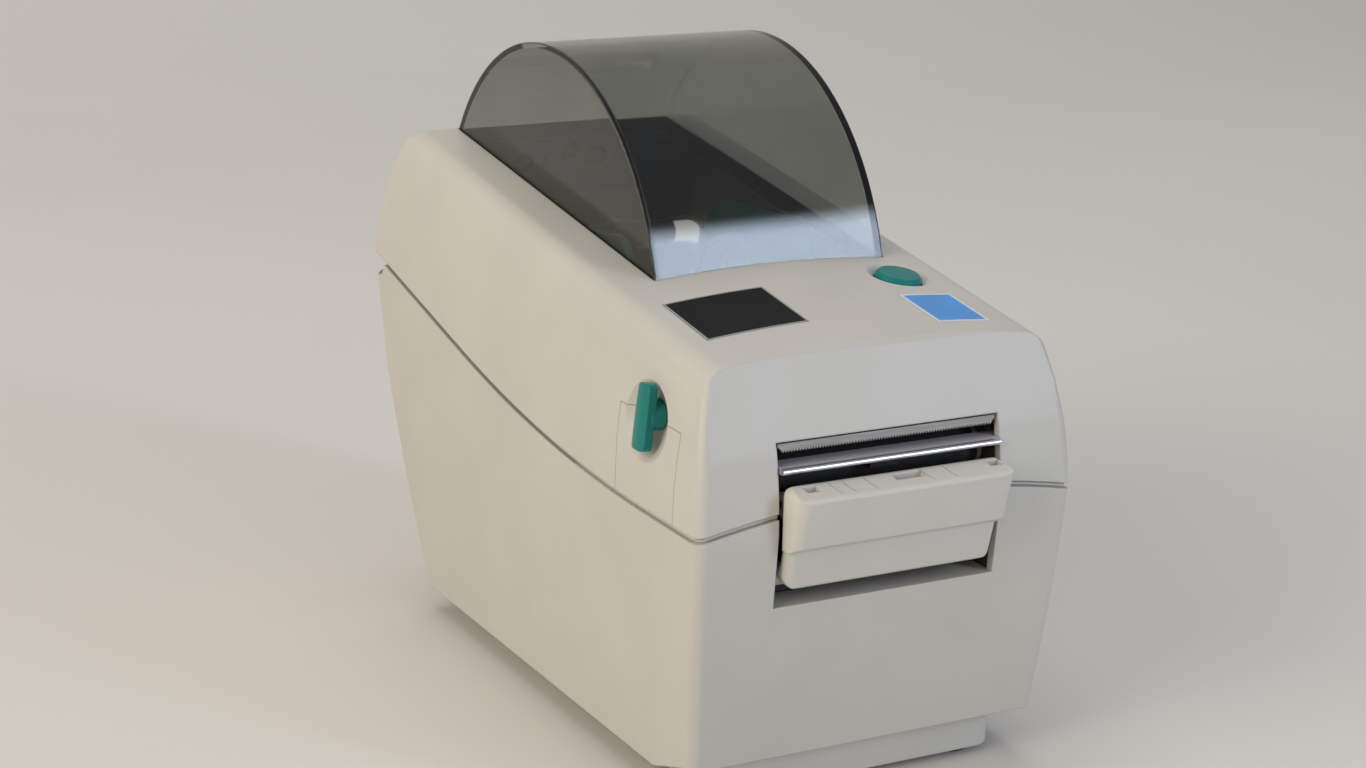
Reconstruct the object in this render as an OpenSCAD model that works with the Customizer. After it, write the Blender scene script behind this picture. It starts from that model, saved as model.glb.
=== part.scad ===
// Desktop label printer: clamshell housings, smoked roll window, platen drive,
// print head, media guides, label dispenser and release latch.
// The front faces -Y, +Z is up, and the origin is under the middle of the whole machine.

/* [Housings] */
// Width across the widest line of the housings
body_w = 109; // [106:0.5:114]
// Depth of the housings from front to rear
body_d = 208; // [204:0.5:214]
// Wall of both housings
wall = 2.5; // [2.2:0.1:2.8]
// Radius of the upright corners
corner_r = 3; // [2.4:0.1:5]
// Height of the lower housing's bottom edge
skirt_z = 6.8; // [6:0.1:8]
// How far the sides draw in at the bottom edge
side_draft = 3.7; // [2.5:0.1:4.5]
// How far the front draws in at the bottom edge
front_draft = 8.2; // [6:0.2:9]
// How far the rear draws in at the bottom edge
rear_draft = 32; // [26:1:34]
// Height of the raised lower edge at the front
toe_z = 12.6; // [11.5:0.1:13]

/* [Upper housing] */
// Slope of the roof
roof_tilt = 8; // [7.5:0.1:8.4]
// Height of the roof above the widest line
roof_h = 41.7; // [41:0.1:44]
// Radius of the roof's crown
crown_r = 385; // [300:5:600]
// Radius of the rounded shoulders
shoulder_r = 7; // [5:0.5:9]
// Radius of the bowed sides
side_bow = 131; // [125:1:160]
// Radius of the bowed front
front_bow = 88; // [84:1:110]
// Radius of the bowed rear
rear_bow = 93; // [88:1:120]

/* [Seam] */
// Height of the seam at the front corners
seam_z = 74.6; // [73.5:0.1:76]
// Length of the level stretch of the seam
seam_level = 29; // [24:1:34]
// Radius where the seam turns upwards
seam_bend = 505; // [480:5:530]
// Slope of the seam at the rear
seam_slope = 12.8; // [12:0.1:13.2]
// Radius of the arch over the front of the lower housing
seam_arch = 270; // [250:5:320]
// Open joint between the housings
seam_gap = 1.5; // [1.3:0.1:1.7]
// Height of the locating lip above the seam
lip_h = 3.2; // [2.8:0.1:3.6]
// Depth at which the bead in the seam lies below the walls
bead_in = 0.9; // [0.7:0.05:1.1]

/* [Window] */
// Distance of the window from the front
window_in = 60.5; // [60:0.1:61]
// Distance of the window from the rear
window_out = 8.5; // [8:0.1:9.5]
// How far the window is wider than the front slot, on each side
window_over = 2.2; // [1.6:0.1:2.8]
// Wall of the window
window_wall = 1.5; // [1.4:0.1:2.2]
// Height of the roll's axis
roll_z = 105.5; // [104:0.5:107]

/* [Front slot] */
// Room between the front slot and the widest line
slot_room = 22.4; // [21.8:0.2:23]
// Height of the slot's sill
slot_sill = 55; // [54:0.2:55.4]
// Height of the slot's top
slot_top = 97; // [96.4:0.2:98.6]

/* [Dispenser] */
// How far the dispenser door stands out
door_out = 9; // [8:0.5:10]
// Gap between the dispenser door and the slot's edge
door_gap = 1.1; // [0.9:0.1:1.6]
// Slope of the door's front
door_lean = 15.3; // [14:0.1:16]
// Diameter of the pinch roller
pinch_d = 8; // [7:0.2:8.2]

/* [Feed] */
// Diameter of the platen roller
platen_d = 14; // [13.6:0.1:14.4]
// Gap between the platen's rubber and the slot's edge
platen_gap = 2.1; // [1.9:0.1:3]
// Diameter of the platen shaft
platen_shaft_d = 6; // [5:0.2:6.4]
// Height of the platen's axis
platen_z = 85; // [84.6:0.1:85.4]
// Distance of the platen's axis from the front
platen_in = 15.5; // [15.2:0.1:16]
// Gear module
gear_m = 0.8; // [0.78:0.01:0.8]
// Width of the gear faces
gear_face = 4; // [3:0.5:5]
// Teeth on the platen gear
platen_teeth = 24; // [22:2:26]
// Teeth on the idler gear
idler_teeth = 32; // [30:2:34]
// Teeth on the motor pinion
pinion_teeth = 12; // [12:2:14]
// Diameter of the stepper motor
motor_d = 35; // [32:0.5:36]
// Length of the stepper motor
motor_len = 22; // [18:1:26]

/* [Controls] */
// Diameter of the feed button
button_d = 12.5; // [11:0.5:13.5]
// How far the feed button can be pressed
button_travel = 1; // [0.6:0.1:1.2]
// Diameter of the release lever's dish
dish_d = 21; // [19:0.5:22]
// How far the release lever stands out from the side
lever_out = 2.6; // [2:0.1:3]

/* [Fits] */
// Gap between a turning shaft and its bore
run_fit = 0.05; // [0.03:0.01:0.08]
// Gap between a pressed-in pin and its seat
seat_fit = 0.02; // [0.01:0.01:0.03]
// Gap between parts that lie beside each other
part_fit = 0.3; // [0.2:0.05:0.4]

/* [Hidden] */
$fn = 64;
far = 300;
eps = 0.01;

rear_y = (body_d + door_out) / 2;
front_y = rear_y - body_d;
half_w = body_w / 2;
slot_w = body_w - 2 * slot_room;
window_w = slot_w + 2 * window_over;
door_w = slot_w - 2 * door_gap;
platen_len = slot_w - 2 * platen_gap;
window_r = (body_d - window_in - window_out) / 2;
roll_y = front_y + window_in + window_r;
platen_y = front_y + platen_in;
lever_y = front_y + 30;
lever_z = 99.2;
lever_shaft_r = 2.5;
lip_t = (wall - 0.3) / 2;

// The seam: level at the front, then an arc, then a straight slope up to the rear.
seam_y0 = front_y + seam_level;
seam_y1 = seam_y0 + seam_bend * sin(seam_slope);
function seam_at(y) =
    y < seam_y0 ? seam_z :
    y < seam_y1 ? seam_z + seam_bend - sqrt(pow(seam_bend, 2) - pow(y - seam_y0, 2)) :
    seam_z + seam_bend * (1 - cos(seam_slope)) + tan(seam_slope) * (y - seam_y1);
function arch_at(x) =
    seam_z + sqrt(pow(seam_arch, 2) - pow(x, 2)) - sqrt(pow(seam_arch, 2) - pow(half_w, 2));

// Points of an arc from angle a0 to a1.
function arc(cx, cy, r, a0, a1, n) =
    [for (i = [0:n]) let(a = a0 + (a1 - a0) * i / n) [cx + r * cos(a), cy + r * sin(a)]];
function inner_corner(t) = max(corner_r - t, 0.3);
function rounded_rect(hw, y0, y1, r) = concat(
    arc(hw - r, y1 - r, r, 0, 90, 8), arc(r - hw, y1 - r, r, 90, 180, 8),
    arc(r - hw, y0 + r, r, 180, 270, 8), arc(hw - r, y0 + r, r, 270, 360, 8));

// Prism of a YZ outline, standing across X.
module across(x0, x1) {
    translate([x0, 0, 0]) rotate([90, 0, 90]) linear_extrude(x1 - x0) children();
}
module both_sides() {
    children();
    mirror([1, 0, 0]) children();
}
module bar_x(x0, x1, y, z, r) {
    translate([x0, y, z]) rotate([0, 90, 0]) cylinder(r = r, h = x1 - x0);
}
module block(x0, x1, y0, y1, z0, z1) {
    translate([min(x0, x1), y0, z0]) cube([abs(x1 - x0), y1 - y0, z1 - z0]);
}
module on_roof_axes() {
    translate([0, front_y, seam_z]) rotate([roof_tilt, 0, 0]) children();
}
function roof_v(y, z) = (y - front_y) * cos(roof_tilt) + (z - seam_z) * sin(roof_tilt);
function roof_w(y, z) = (z - seam_z) * cos(roof_tilt) - (y - front_y) * sin(roof_tilt);

// Draw-in of the lower walls, as a share of the whole, at a share f of the way down.
function draw_in(f) = 0.62 * f + 0.38 * f * f;
rear_seam_z = seam_at(rear_y);
function low_share(z) = (seam_z - z) / (seam_z - skirt_z);
function rear_share(z) = (rear_seam_z - z) / (rear_seam_z - skirt_z);
function low_half_w(z) = half_w - side_draft * draw_in(low_share(z));
function low_front(z) = front_y + front_draft * draw_in(low_share(z));
function low_rear(z) = rear_y - rear_draft * draw_in(rear_share(z));

// Walls above the widest line, at height w square to the roof.
roof_len = body_d / cos(roof_tilt);
function high_half_w(w) = half_w - w * w / (2 * side_bow);
function high_front(w) = w * tan(roof_tilt) + w * w / (2 * front_bow);
function high_rear(w) = roof_len - w * w / (2 * rear_bow);

low_steps = 4;
high_steps = 5;
high_reach = roof_h + 4;

// The whole closed outer form, drawn in by t all round.
module body_form(t) {
    hull() {
        for (i = [0:low_steps]) let(z = skirt_z + (seam_z - 4 - skirt_z) * i / low_steps)
            translate([0, 0, z]) linear_extrude(eps)
                polygon(rounded_rect(low_half_w(z) - t, low_front(z) + t, low_rear(z) - t,
                    inner_corner(t)));
        for (i = [0:high_steps]) let(w = high_reach * i / high_steps)
            on_roof_axes() translate([0, 0, w]) linear_extrude(eps)
                polygon(rounded_rect(high_half_w(w) - t, high_front(w) + t, high_rear(w) - t,
                    inner_corner(t)));
    }
}

// Crowned roof with rounded shoulders, looking along the roof.
module roof_outline(t) {
    h = roof_h - t;
    r = shoulder_r - t;
    cx = high_half_w(h - shoulder_r * 0.75) - t - r * 0.97;
    a = asin(cx / (crown_r - r));
    cz = h - crown_r + (crown_r - r) * cos(a);
    polygon(concat(arc(0, h - crown_r, crown_r, 90 - a, 90 + a, 12),
        arc(-cx, cz, r, 90 + a, 172, 6), [[-far, -far], [far, -far]], arc(cx, cz, r, 8, 90 - a, 6)));
}
// Rounded front and rear edges of the roof, looking along X.
front_edge_r = 5;
rear_edge_r = 14;
module roof_edges(t) {
    h = roof_h - t;
    rf = front_edge_r;
    rr = rear_edge_r - t;
    vf = high_front(h - rf / 2) + t + rf * cos(30) - 0.05;
    vr = high_rear(h - rr * 0.74) - t - rr * cos(15) + 0.05;
    polygon(concat(arc(vr, h - rr, rr, 15, 90, 6), arc(vf, h - rf, rf, 90, 150, 4),
        [[-far / 4, -far / 2], [far * 1.1, -far / 2]]));
}
module upper_form(t) {
    intersection() {
        body_form(t);
        roof_block(t);
        on_roof_axes() across(-half_w - 1, half_w + 1) roof_edges(t);
    }
}

// Everything above the seam, raised by d.
seam_points = [for (i = [0:14]) let(y = seam_y0 + (seam_y1 - seam_y0) * i / 14) [y, seam_at(y)]];
module above_seam(d) {
    difference() {
        translate([0, 0, d]) across(-half_w - 5, half_w + 5)
            polygon(concat([[-far, seam_z]], seam_points, [[rear_y + 50, seam_at(rear_y + 50)],
                [rear_y + 50, far], [-far, far]]));
        translate([0, seam_front_end, d]) rotate([90, 0, 0]) linear_extrude(far) arch_outline();
    }
}
seam_front_end = front_y + wall + 1.5;
slot_back = front_y + wall + 3.5;
module arch_outline() {
    xs = [for (i = [0:16]) half_w * (1 - i / 8)];
    polygon(concat([for (x = xs) [x, arch_at(x)]], [[-half_w, 0], [half_w, 0]]));
}

// Cover hinge along the rear edge.
hinge_r = 3.8;
hinge_y = rear_y - hinge_r - 0.4;
hinge_z = seam_at(hinge_y);
hinge_clear = 0.5;
hinge_relief = hinge_r + 1.2;
ear_x0 = 24;
ear_x1 = 32;
hinge_x = half_w - 10.5;
hinge_pin_r = 1.5;

// Bottom pan.
pan_half_w = low_half_w(skirt_z) - 8;
pan_z0 = 2.2;
pan_wall = 2.2;
pan_flange_z = 13;
pan_flange_t = 2;
pan_front = low_front(toe_z) + 4.5;
pan_rear = low_rear(skirt_z) - 8;
pan_top = pan_flange_z + pan_flange_t;
pan_floor = pan_z0 + pan_wall;
boss_x = low_half_w(pan_top) - 5.8;
boss_ys = [pan_front + 8, pan_rear - 12];
boss_r = 3.6;
screw_r = 1.5;

// Rear pocket with the sockets.
pocket_half_w = pan_half_w - 4.8;
pocket_y = pan_rear + 2.5;
pocket_z0 = 17;
pocket_z1 = 35;
pocket_wall = 2;

// Print frame.
cheek_x = slot_w / 2 + 0.9;
cheek_t = 3;
cheek_out = cheek_x + cheek_t;
frame_rear = front_y + 59;
board_z = 16;
board_t = 1.6;

// Locating lip inside the seam, with a bead that shows between the housings.
module lip() {
    difference() {
        union() {
            intersection() {
                body_form(wall - lip_t);
                seam_layer(-4, lip_h);
            }
            intersection() {
                body_form(bead_in);
                seam_layer(0.35, seam_gap - 0.45);
            }
        }
        body_form(wall + 0.2);
    }
}
module seam_layer(low, high) {
    difference() {
        above_seam(low);
        above_seam(high);
    }
}
module pocket_box(g, y, z0, z1) {
    block(-pocket_half_w - g, pocket_half_w + g, y, rear_y, z0, z1);
}
module base_housing() {
    color("#d9d2bd") difference() {
        union() {
            difference() {
                intersection() {
                    body_form(0);
                    union() {
                        difference() {
                            block(-far, far, -far, far, skirt_z + 0.05, far);
                            body_form(wall);
                        }
                        pocket_box(pocket_wall, pocket_y - pocket_wall, pan_top + 0.2,
                            pocket_z1 + pocket_wall);
                        both_sides() for (y = boss_ys) translate([boss_x, y, pan_top])
                            cylinder(r = boss_r, h = 26);
                        sill_ledge();
                        both_sides() for (y = rib_ys)
                            block(rib_x, half_w, y, y + rib_t, pan_top + 1, seam_at(y) - 6);
                    }
                }
                above_seam(0);
            }
            lip();
            both_sides() hinge_ear();
        }
        // toe-kick under the front
        across(-half_w, half_w) polygon([[front_y - 1, 0], [pan_front + 16, 0],
            [pan_front + 16, skirt_z], [pan_front, toe_z], [front_y - 1, toe_z]]);
        // front slot
        block(-slot_w / 2, slot_w / 2, front_y - 5, slot_back, slot_sill, seam_z + 20);
        pocket_box(0, pocket_y, pocket_z0, pocket_z1);
        socket_cutouts();
        both_sides() for (y = boss_ys) translate([boss_x, y, 0])
            cylinder(r = screw_r - 0.2, h = pan_top + 12);
        hinge_cut();
        both_sides() bar_x(ear_x0 - 1, ear_x1 + 1, hinge_y, hinge_z, hinge_pin_r + run_fit);
    }
}
// Ledge behind the front slot's sill, carried on gussets.
ledge_back = front_y + 11.8;
module sill_ledge() {
    block(-slot_w / 2 - 0.5, slot_w / 2 + 0.5, front_y, ledge_back, slot_sill - 2, slot_sill);
    for (x = [-0.36, -0.12, 0.12, 0.36]) across(x * slot_w - rib_t / 2, x * slot_w + rib_t / 2)
        polygon([[front_y, slot_sill - 1], [ledge_back - 1, slot_sill - 1],
            [front_y + wall + 2, slot_sill - 14], [front_y, slot_sill - 14]]);
}
rib_t = 1.4;
rib_x = low_half_w(skirt_z) - wall - 1.2;
rib_ys = [-26, 2, 30];
module hinge_ear() {
    bar_x(ear_x0, ear_x1, hinge_y, hinge_z, hinge_r);
    across(ear_x0, ear_x1) polygon([[hinge_y - hinge_r, hinge_z], [hinge_y + 1, hinge_z - 1],
        [low_rear(hinge_z - 16) - 1, hinge_z - 16], [hinge_y - hinge_r, hinge_z - 10]]);
}
// Rounded groove in the rear edge, in which the cover's hinge edge turns.
module hinge_cut() {
    for (s = [[-half_w - 1, -ear_x1], [-ear_x0, ear_x0], [ear_x1, half_w + 1]])
        bar_x(s[0], s[1], hinge_y, hinge_z, hinge_relief);
}

// Sockets along the rear edge of the main board, spread over the pocket with even gaps.
serial_w = 13.9;
usb_w = 6.3;
inlet_w = 4.8;
switch_w = 6.6;
socket_room = (2 * pocket_half_w - 2 * (serial_w + usb_w + inlet_w + switch_w)) / 5;
serial_x = socket_room + serial_w - pocket_half_w;
usb_x = serial_x + serial_w + socket_room + usb_w;
inlet_x = usb_x + usb_w + socket_room + inlet_w;
switch_x = inlet_x + inlet_w + socket_room + switch_w;
socket_z = board_z + board_t;
module socket_cutouts() {
    y0 = pocket_y - pocket_wall - 1;
    y1 = pocket_y + 1;
    block(serial_x - 12.6, serial_x + 12.6, y0, y1, socket_z + 1, socket_z + 13);
    block(usb_x - usb_w, usb_x + usb_w, y0, y1, socket_z, socket_z + 11.3);
    block(inlet_x - inlet_w, inlet_x + inlet_w, y0, y1, socket_z, socket_z + 11.3);
    block(switch_x - 5.3, switch_x + 5.3, y0, y1, socket_z + 0.7, socket_z + 15.3);
}

module bottom_pan() {
    tray = rounded_rect(pan_half_w, pan_front, pan_rear, 6);
    inside = rounded_rect(pan_half_w - pan_wall, pan_front + pan_wall, pan_rear - pan_wall, 4);
    color("#cfc8b4") difference() {
        union() {
            translate([0, 0, pan_z0]) linear_extrude(pan_top - pan_z0) polygon(tray);
            intersection() {
                body_form(wall + part_fit);
                block(-half_w, half_w, front_y, rear_y, pan_flange_z, pan_top);
            }
        }
        translate([0, 0, pan_floor]) linear_extrude(far) polygon(inside);
        both_sides() for (y = boss_ys) translate([boss_x, y, 0]) cylinder(r = screw_r + 0.2, h = far);
        // cooling slots in the floor
        for (i = [0:6]) block(-15, 15, i * 7 - 12, i * 7 - 9, 0, pan_floor + 1);
        both_sides() for (y = foot_ys) translate([foot_x, y, 0])
            cylinder(r = foot_r + 0.1, h = pan_z0 + 0.8);
    }
    color("#cfc8b4") for (x = [-1, 1], y = board_ys) translate([x * board_post_x, y, pan_floor])
        difference() {
            cylinder(r = 3, h = board_z - pan_floor);
            translate([0, 0, 3]) cylinder(r = 1.1, h = 20);
        }
}
foot_r = 6.5;
foot_x = pan_half_w - 9;
foot_ys = [pan_front + 10, pan_rear - 10];
module rubber_feet() {
    color("#2a2a2c") both_sides() for (y = foot_ys) translate([foot_x, y, 0]) {
        cylinder(r = foot_r, h = pan_z0 + 0.8);
    }
}
module pan_screws() {
    color("silver") both_sides() for (y = boss_ys)
        translate([boss_x, y, pan_flange_z]) mirror([0, 0, 1]) pan_screw(12, 2.5, 2);
}
// Screw with its head seated at z = 0 and its shank running down to -Z.
module pan_screw(len, head_r, head_h) {
    difference() {
        cylinder(r = head_r, h = head_h);
        translate([0, 0, head_h - 1]) cross_slot(head_r);
    }
    translate([0, 0, -len]) cylinder(r = screw_r - 0.2 - run_fit, h = len + eps);
}
module cross_slot(r) {
    for (a = [0, 90]) rotate([0, 0, a]) translate([-r * 0.6, -0.4, 0]) cube([r * 1.2, 0.8, 2]);
}

// Main board and what is soldered to it.
board_half_w = cheek_x + 3;
board_post_x = board_half_w - 4;
board_rear = pocket_y - pocket_wall - 1;
board_front = frame_rear + 12.5;
board_ys = [board_front + 6, board_rear - 20];
module main_board() {
    color("#1f6b3a") difference() {
        block(-board_half_w, board_half_w, board_front, board_rear, board_z, board_z + board_t);
        for (x = [-1, 1], y = board_ys) translate([x * board_post_x, y, 0]) cylinder(r = 1.6, h = 30);
    }
    top = board_z + board_t;
    color("#222222") {
        block(-14, 6, board_front + 24, board_front + 44, top, top + 1.6);
        block(12, 24, board_front + 26, board_front + 36, top, top + 1.4);
        block(-26, -18, board_front + 16, board_front + 32, top, top + 6);
        block(-8, 14, board_front + 4, board_front + 10, top, top + 7);
    }
    color("#3b4a86") for (i = [0:2]) translate([8 + i * 9, board_rear - 27, top]) cylinder(r = 3.6, h = 11);
    color("silver") for (x = [-1, 1], y = board_ys)
        translate([x * board_post_x, y, top]) board_screw();
}
module board_screw() {
    cylinder(r = 2.4, h = 1.4);
    translate([0, 0, -5]) cylinder(r = 1.05, h = 5);
}
socket_y0 = board_rear - 12;
socket_y1 = pocket_y + 1.5;
module serial_socket() {
    color("silver") difference() {
        union() {
            block(serial_x - 13.6, serial_x + 13.6, socket_y0, pocket_y - pocket_wall - 0.1, socket_z,
                socket_z + 12.5);
            serial_shell(8.4, 5.2, 2.6, 6);
        }
        serial_shell(7.8, 4.6, 2, 6.5);
    }
    color("#222222") serial_shell(7.2, 4.1, 1.8, 3);
}
// Nine-way D-shaped sleeve: half width, half height and corner radius.
module serial_shell(hw, hh, r, out) {
    translate([serial_x, socket_y1 + out - 2, socket_z + 7]) rotate([90, 0, 0]) linear_extrude(out + 8)
        polygon(concat(arc(hw - r, hh - r, r, 0, 90, 4), arc(r - hw, hh - r, r, 90, 180, 4),
            arc(r - hw + 1.6, r - hh, r, 180, 270, 4), arc(hw - 1.6 - r, r - hh, r, 270, 360, 4)));
}
module usb_socket() {
    color("silver") difference() {
        block(usb_x - 6, usb_x + 6, board_rear - 14, socket_y1, socket_z, socket_z + 11);
        translate([usb_x, socket_y1 + 1, socket_z + 5.5]) rotate([90, 0, 0]) linear_extrude(10)
            polygon([[-4.4, -4], [4.4, -4], [4.4, 2], [2.4, 4.2], [-2.4, 4.2], [-4.4, 2]]);
    }
    color("white") block(usb_x - 2.8, usb_x + 2.8, board_rear - 8, socket_y1 - 1.5, socket_z + 4,
        socket_z + 7);
}
module power_inlet() {
    y1 = socket_y1;
    color("#1c1c1e") difference() {
        block(inlet_x - 4.5, inlet_x + 4.5, board_rear - 13, y1, socket_z, socket_z + 11);
        translate([inlet_x, y1 + 1, socket_z + 6.2]) rotate([90, 0, 0]) cylinder(r = 3.2, h = 11);
    }
    color("silver") translate([inlet_x, y1 - 1, socket_z + 6.2]) rotate([90, 0, 0])
        cylinder(r = 1.05, h = 10);
}
switch_z = socket_z + 8;
rocker_y = pocket_y - 3.5;
rocker_rest = -10;
module power_switch() {
    color("#1c1c1e") difference() {
        union() {
            block(switch_x - 5, switch_x + 5, pocket_y - 12, pocket_y + 0.1, switch_z - 7, switch_z + 7);
            block(switch_x - 6.4, switch_x + 6.4, pocket_y + 0.05, pocket_y + 1.6, switch_z - 8.4,
                switch_z + 8.4);
        }
        block(switch_x - 3.8, switch_x + 3.8, pocket_y - 7.5, pocket_y + 3, switch_z - 6.2, switch_z + 6.2);
        bar_x(switch_x - 4.6, switch_x + 4.6, rocker_y, switch_z, 0.9 + run_fit);
    }
}
module power_rocker() {
    color("#2b2b2e") translate([0, rocker_y, switch_z]) rotate([rocker_rest, 0, 0])
        translate([0, -rocker_y, -switch_z]) {
        difference() {
            intersection() {
                bar_x(switch_x - 3.5, switch_x + 3.5, rocker_y, switch_z, 5.9);
                across(switch_x - 4, switch_x + 4) polygon([[rocker_y - 2.4, switch_z - 1.2],
                    [rocker_y + 6, switch_z - 6], [rocker_y + 6, switch_z + 6],
                    [rocker_y - 2.4, switch_z + 1.2]]);
            }
            // dished face
            bar_x(switch_x - 4, switch_x + 4, rocker_y + 11.5, switch_z, 6.5);
        }
        bar_x(switch_x - 4.5, switch_x + 4.5, rocker_y, switch_z, 0.9);
    }
}

// Print frame: two cheeks, a cross wall and a floor.
frame_front = low_front(platen_z - 22) + wall + 0.8;
frame_foot = pan_front + pan_wall + 1;
frame_top = platen_z + 8;
motor_y = platen_y + 22;
motor_z = platen_z - 31;
mesh_gap = 0.06;
idler_pos = gear_meeting(platen_y, platen_z, motor_y, motor_z,
    gear_m * (platen_teeth + idler_teeth) / 2 + mesh_gap,
    gear_m * (idler_teeth + pinion_teeth) / 2 + mesh_gap);
// Centre of the wheel that meshes with wheels at (ay, az) and (by, bz), on the rear side.
function gear_meeting(ay, az, by, bz, da, db) =
    let(dy = by - ay, dz = bz - az, d = sqrt(dy * dy + dz * dz),
        a = (da * da - db * db + d * d) / (2 * d), h = sqrt(da * da - a * a))
    [ay + a * dy / d - h * dz / d, az + a * dz / d + h * dy / d];

door_y = front_y + 7;
door_z = slot_sill + 7;
door_pin_r = 1.5;
catch_y = lever_y - 6.2;
catch_z = lever_z - 10;
catch_r = 1.8;
module cheek(x) {
    across(x, x + cheek_t) polygon([[frame_foot, pan_floor], [frame_foot, pan_top + 4],
        [low_front(pan_top + 16) + wall + 1, pan_top + 16], [frame_front, platen_z - 22],
        [frame_front, frame_top - 12], [frame_front + 0.9, frame_top - 4],
        [frame_front + 5, frame_top], [platen_y + 9, frame_top], [platen_y + 22, frame_top - 12],
        [frame_rear, frame_top - 22], [frame_rear, pan_floor]]);
}
module print_frame() {
    color("#8b8d90") difference() {
        union() {
            cheek(cheek_x);
            cheek(-cheek_out);
            // cross wall, front foot and media ramp
            block(-cheek_out, cheek_out, frame_rear - 3, frame_rear, pan_floor, frame_top - 22);
            block(-cheek_x - 1, cheek_x + 1, frame_foot, frame_rear, pan_floor, pan_floor + 2.5);
            across(-cheek_x - 1, cheek_x + 1) polygon([[frame_rear, frame_top - 22],
                [frame_rear, frame_top - 19], [platen_y + 20, platen_z + 5.2],
                [platen_y + 9.5, platen_z + 6.2], [platen_y + 9.5, platen_z + 4],
                [platen_y + 20, platen_z + 2.6], [frame_rear - 3, frame_top - 22]]);
            both_sides() bar_x(cheek_out - eps, cheek_out + 3, catch_y, catch_z, catch_r);
            // apron below the dispenser door
            block(-cheek_x - 1, cheek_x + 1, ledge_back + 0.8, ledge_back + 2.8, slot_sill - 9,
                slot_sill + 4.5);
        }
        // platen bushes, door pins and motor opening
        both_sides() bar_x(cheek_x - 1, cheek_out + 1, platen_y, platen_z, bush_r + seat_fit);
        both_sides() bar_x(cheek_x - 1, cheek_out + 1, door_y, door_z, door_pin_r + run_fit);
        bar_x(cheek_x - 1, cheek_out + 1, motor_y, motor_z, 6);
        for (s = [-1, 1]) bar_x(cheek_x - 1, cheek_out + 1, motor_y - s * motor_hole,
            motor_z + s * motor_hole, screw_r + run_fit);
        bar_x(cheek_x - 1, cheek_out + 1, idler_pos[0], idler_pos[1], axle_r + seat_fit);
        // slots for the peel bar
        both_sides() block(cheek_x - 1, cheek_out + 1, peel_rear - 6, peel_rear + 0.05,
            peel_top - peel_t - 0.05, far);
        // lightening windows
        both_sides() block(cheek_x - 1, cheek_out + 1, frame_foot + 6, frame_foot + 22, pan_floor + 10,
            pan_floor + 24);
        for (x = [-1, 1], y = frame_screw_ys) translate([x * 26, y, 0]) cylinder(r = screw_r + 0.2, h = 20);
        // opening of the media sensor in the ramp
        block(-9, 9, platen_y + 23, platen_y + 31, platen_z - 12, platen_z + 10);
    }
}
frame_screw_ys = [frame_foot + 6, frame_rear - 9];
module frame_screws() {
    color("silver") for (x = [-1, 1], y = frame_screw_ys) translate([x * 26, y, pan_floor + 2.5])
        pan_screw(2.4, 2.8, 2);
}

// Media tray: a trough round the largest roll.
tray_r = window_r - 3.5;
tray_t = 2;
tray_half_w = cheek_out + 8;
tray_front = frame_rear + 1;
tray_rear = low_rear(roll_z - 38.5) - wall - 10.3;
tray_leg_ys = [tray_front + 6, pan_rear - 20];
rack_z0 = roll_z - tray_r - tray_t - 5.4;
module media_tray() {
    color("#6f7276") difference() {
        union() {
            intersection() {
                difference() {
                    bar_x(-tray_half_w, tray_half_w, roll_y, roll_z, tray_r + tray_t);
                    bar_x(-tray_half_w - 1, tray_half_w + 1, roll_y, roll_z, tray_r);
                }
                block(-far, far, tray_front, tray_rear, 0, roll_z - 22);
            }
            both_sides() for (y = tray_leg_ys) translate([tray_half_w - 3.6, y, pan_top])
                cylinder(r = 3.4, h = tray_floor(y) + tray_t / 2 - pan_top);
            for (s = [-1, 1]) beside_pinion(s)
                block(-rack_room, rack_room, 5.5, rack_back + 1.6, rack_z0 - 1.4, rack_z0 + 8);
        }
        for (s = [-1, 1]) beside_pinion(s) {
            block(-rack_room - 1, rack_room + 1, guide_gear_r - 1.2, rack_back + 0.3, rack_z0 - 0.2,
                rack_z0 + 3.2);
            block(s * 7, s * (rack_room + 0.5), rack_back - rack_w - 0.3, rack_back + 0.3, rack_z0 + 3,
                far);
        }
        block(-10, 10, roll_y - 9.2, roll_y + 9.2, rack_z0 - 2, rack_z0 + 3.5);
        bar_x(-far, far, roll_y, roll_z, tray_r);
    }
    color("#6f7276") translate([0, roll_y, rack_z0 - 0.8]) {
        cylinder(r = pinion_peg_r, h = 7);
        cylinder(r = pinion_peg_r + 0.5, h = 0.7);
    }
}
function tray_floor(y) = roll_z - sqrt(pow(tray_r + tray_t, 2) - pow(y - roll_y, 2));
pinion_peg_r = 2;
guide_gear_teeth = 14;
guide_gear_r = guide_gear_teeth / 2;
rack_w = 4;
rack_back = guide_gear_r + 4.85;
// Place beside the pinion, on the rear side for s = 1 and the front side for s = -1.
module beside_pinion(s) {
    translate([0, roll_y, 0]) mirror([0, s < 0 ? 1 : 0, 0]) children();
}

// Media guide: upright arm with a core hub, a foot and a rack below the tray.
rack_room = cheek_out;
guide_rest = cheek_x - 7;
guide_t = 2.2;
hub_r = 12;
module media_guide(side) {
    color("#0f8f7c") mirror([side < 0 ? 1 : 0, 0, 0]) {
        difference() {
            across(guide_rest, guide_rest + guide_t) guide_outline();
            bar_x(guide_rest - 1, guide_rest + guide_t + 1, roll_y, roll_z, 5);
        }
        difference() {
            translate([guide_rest + 0.5, roll_y, roll_z]) rotate([0, -90, 0])
                cylinder(r1 = hub_r, r2 = hub_r - 2, h = 6.5);
            bar_x(guide_rest - 8, guide_rest + 1, roll_y, roll_z, hub_r - 3.4);
        }
        beside_pinion(side) {
            block(guide_rest, guide_rest + guide_t, rack_back - rack_w, rack_back, rack_z0,
                roll_z - tray_r + 6);
            translate([0, 0, rack_z0]) linear_extrude(3) rack_outline();
        }
    }
}
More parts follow.
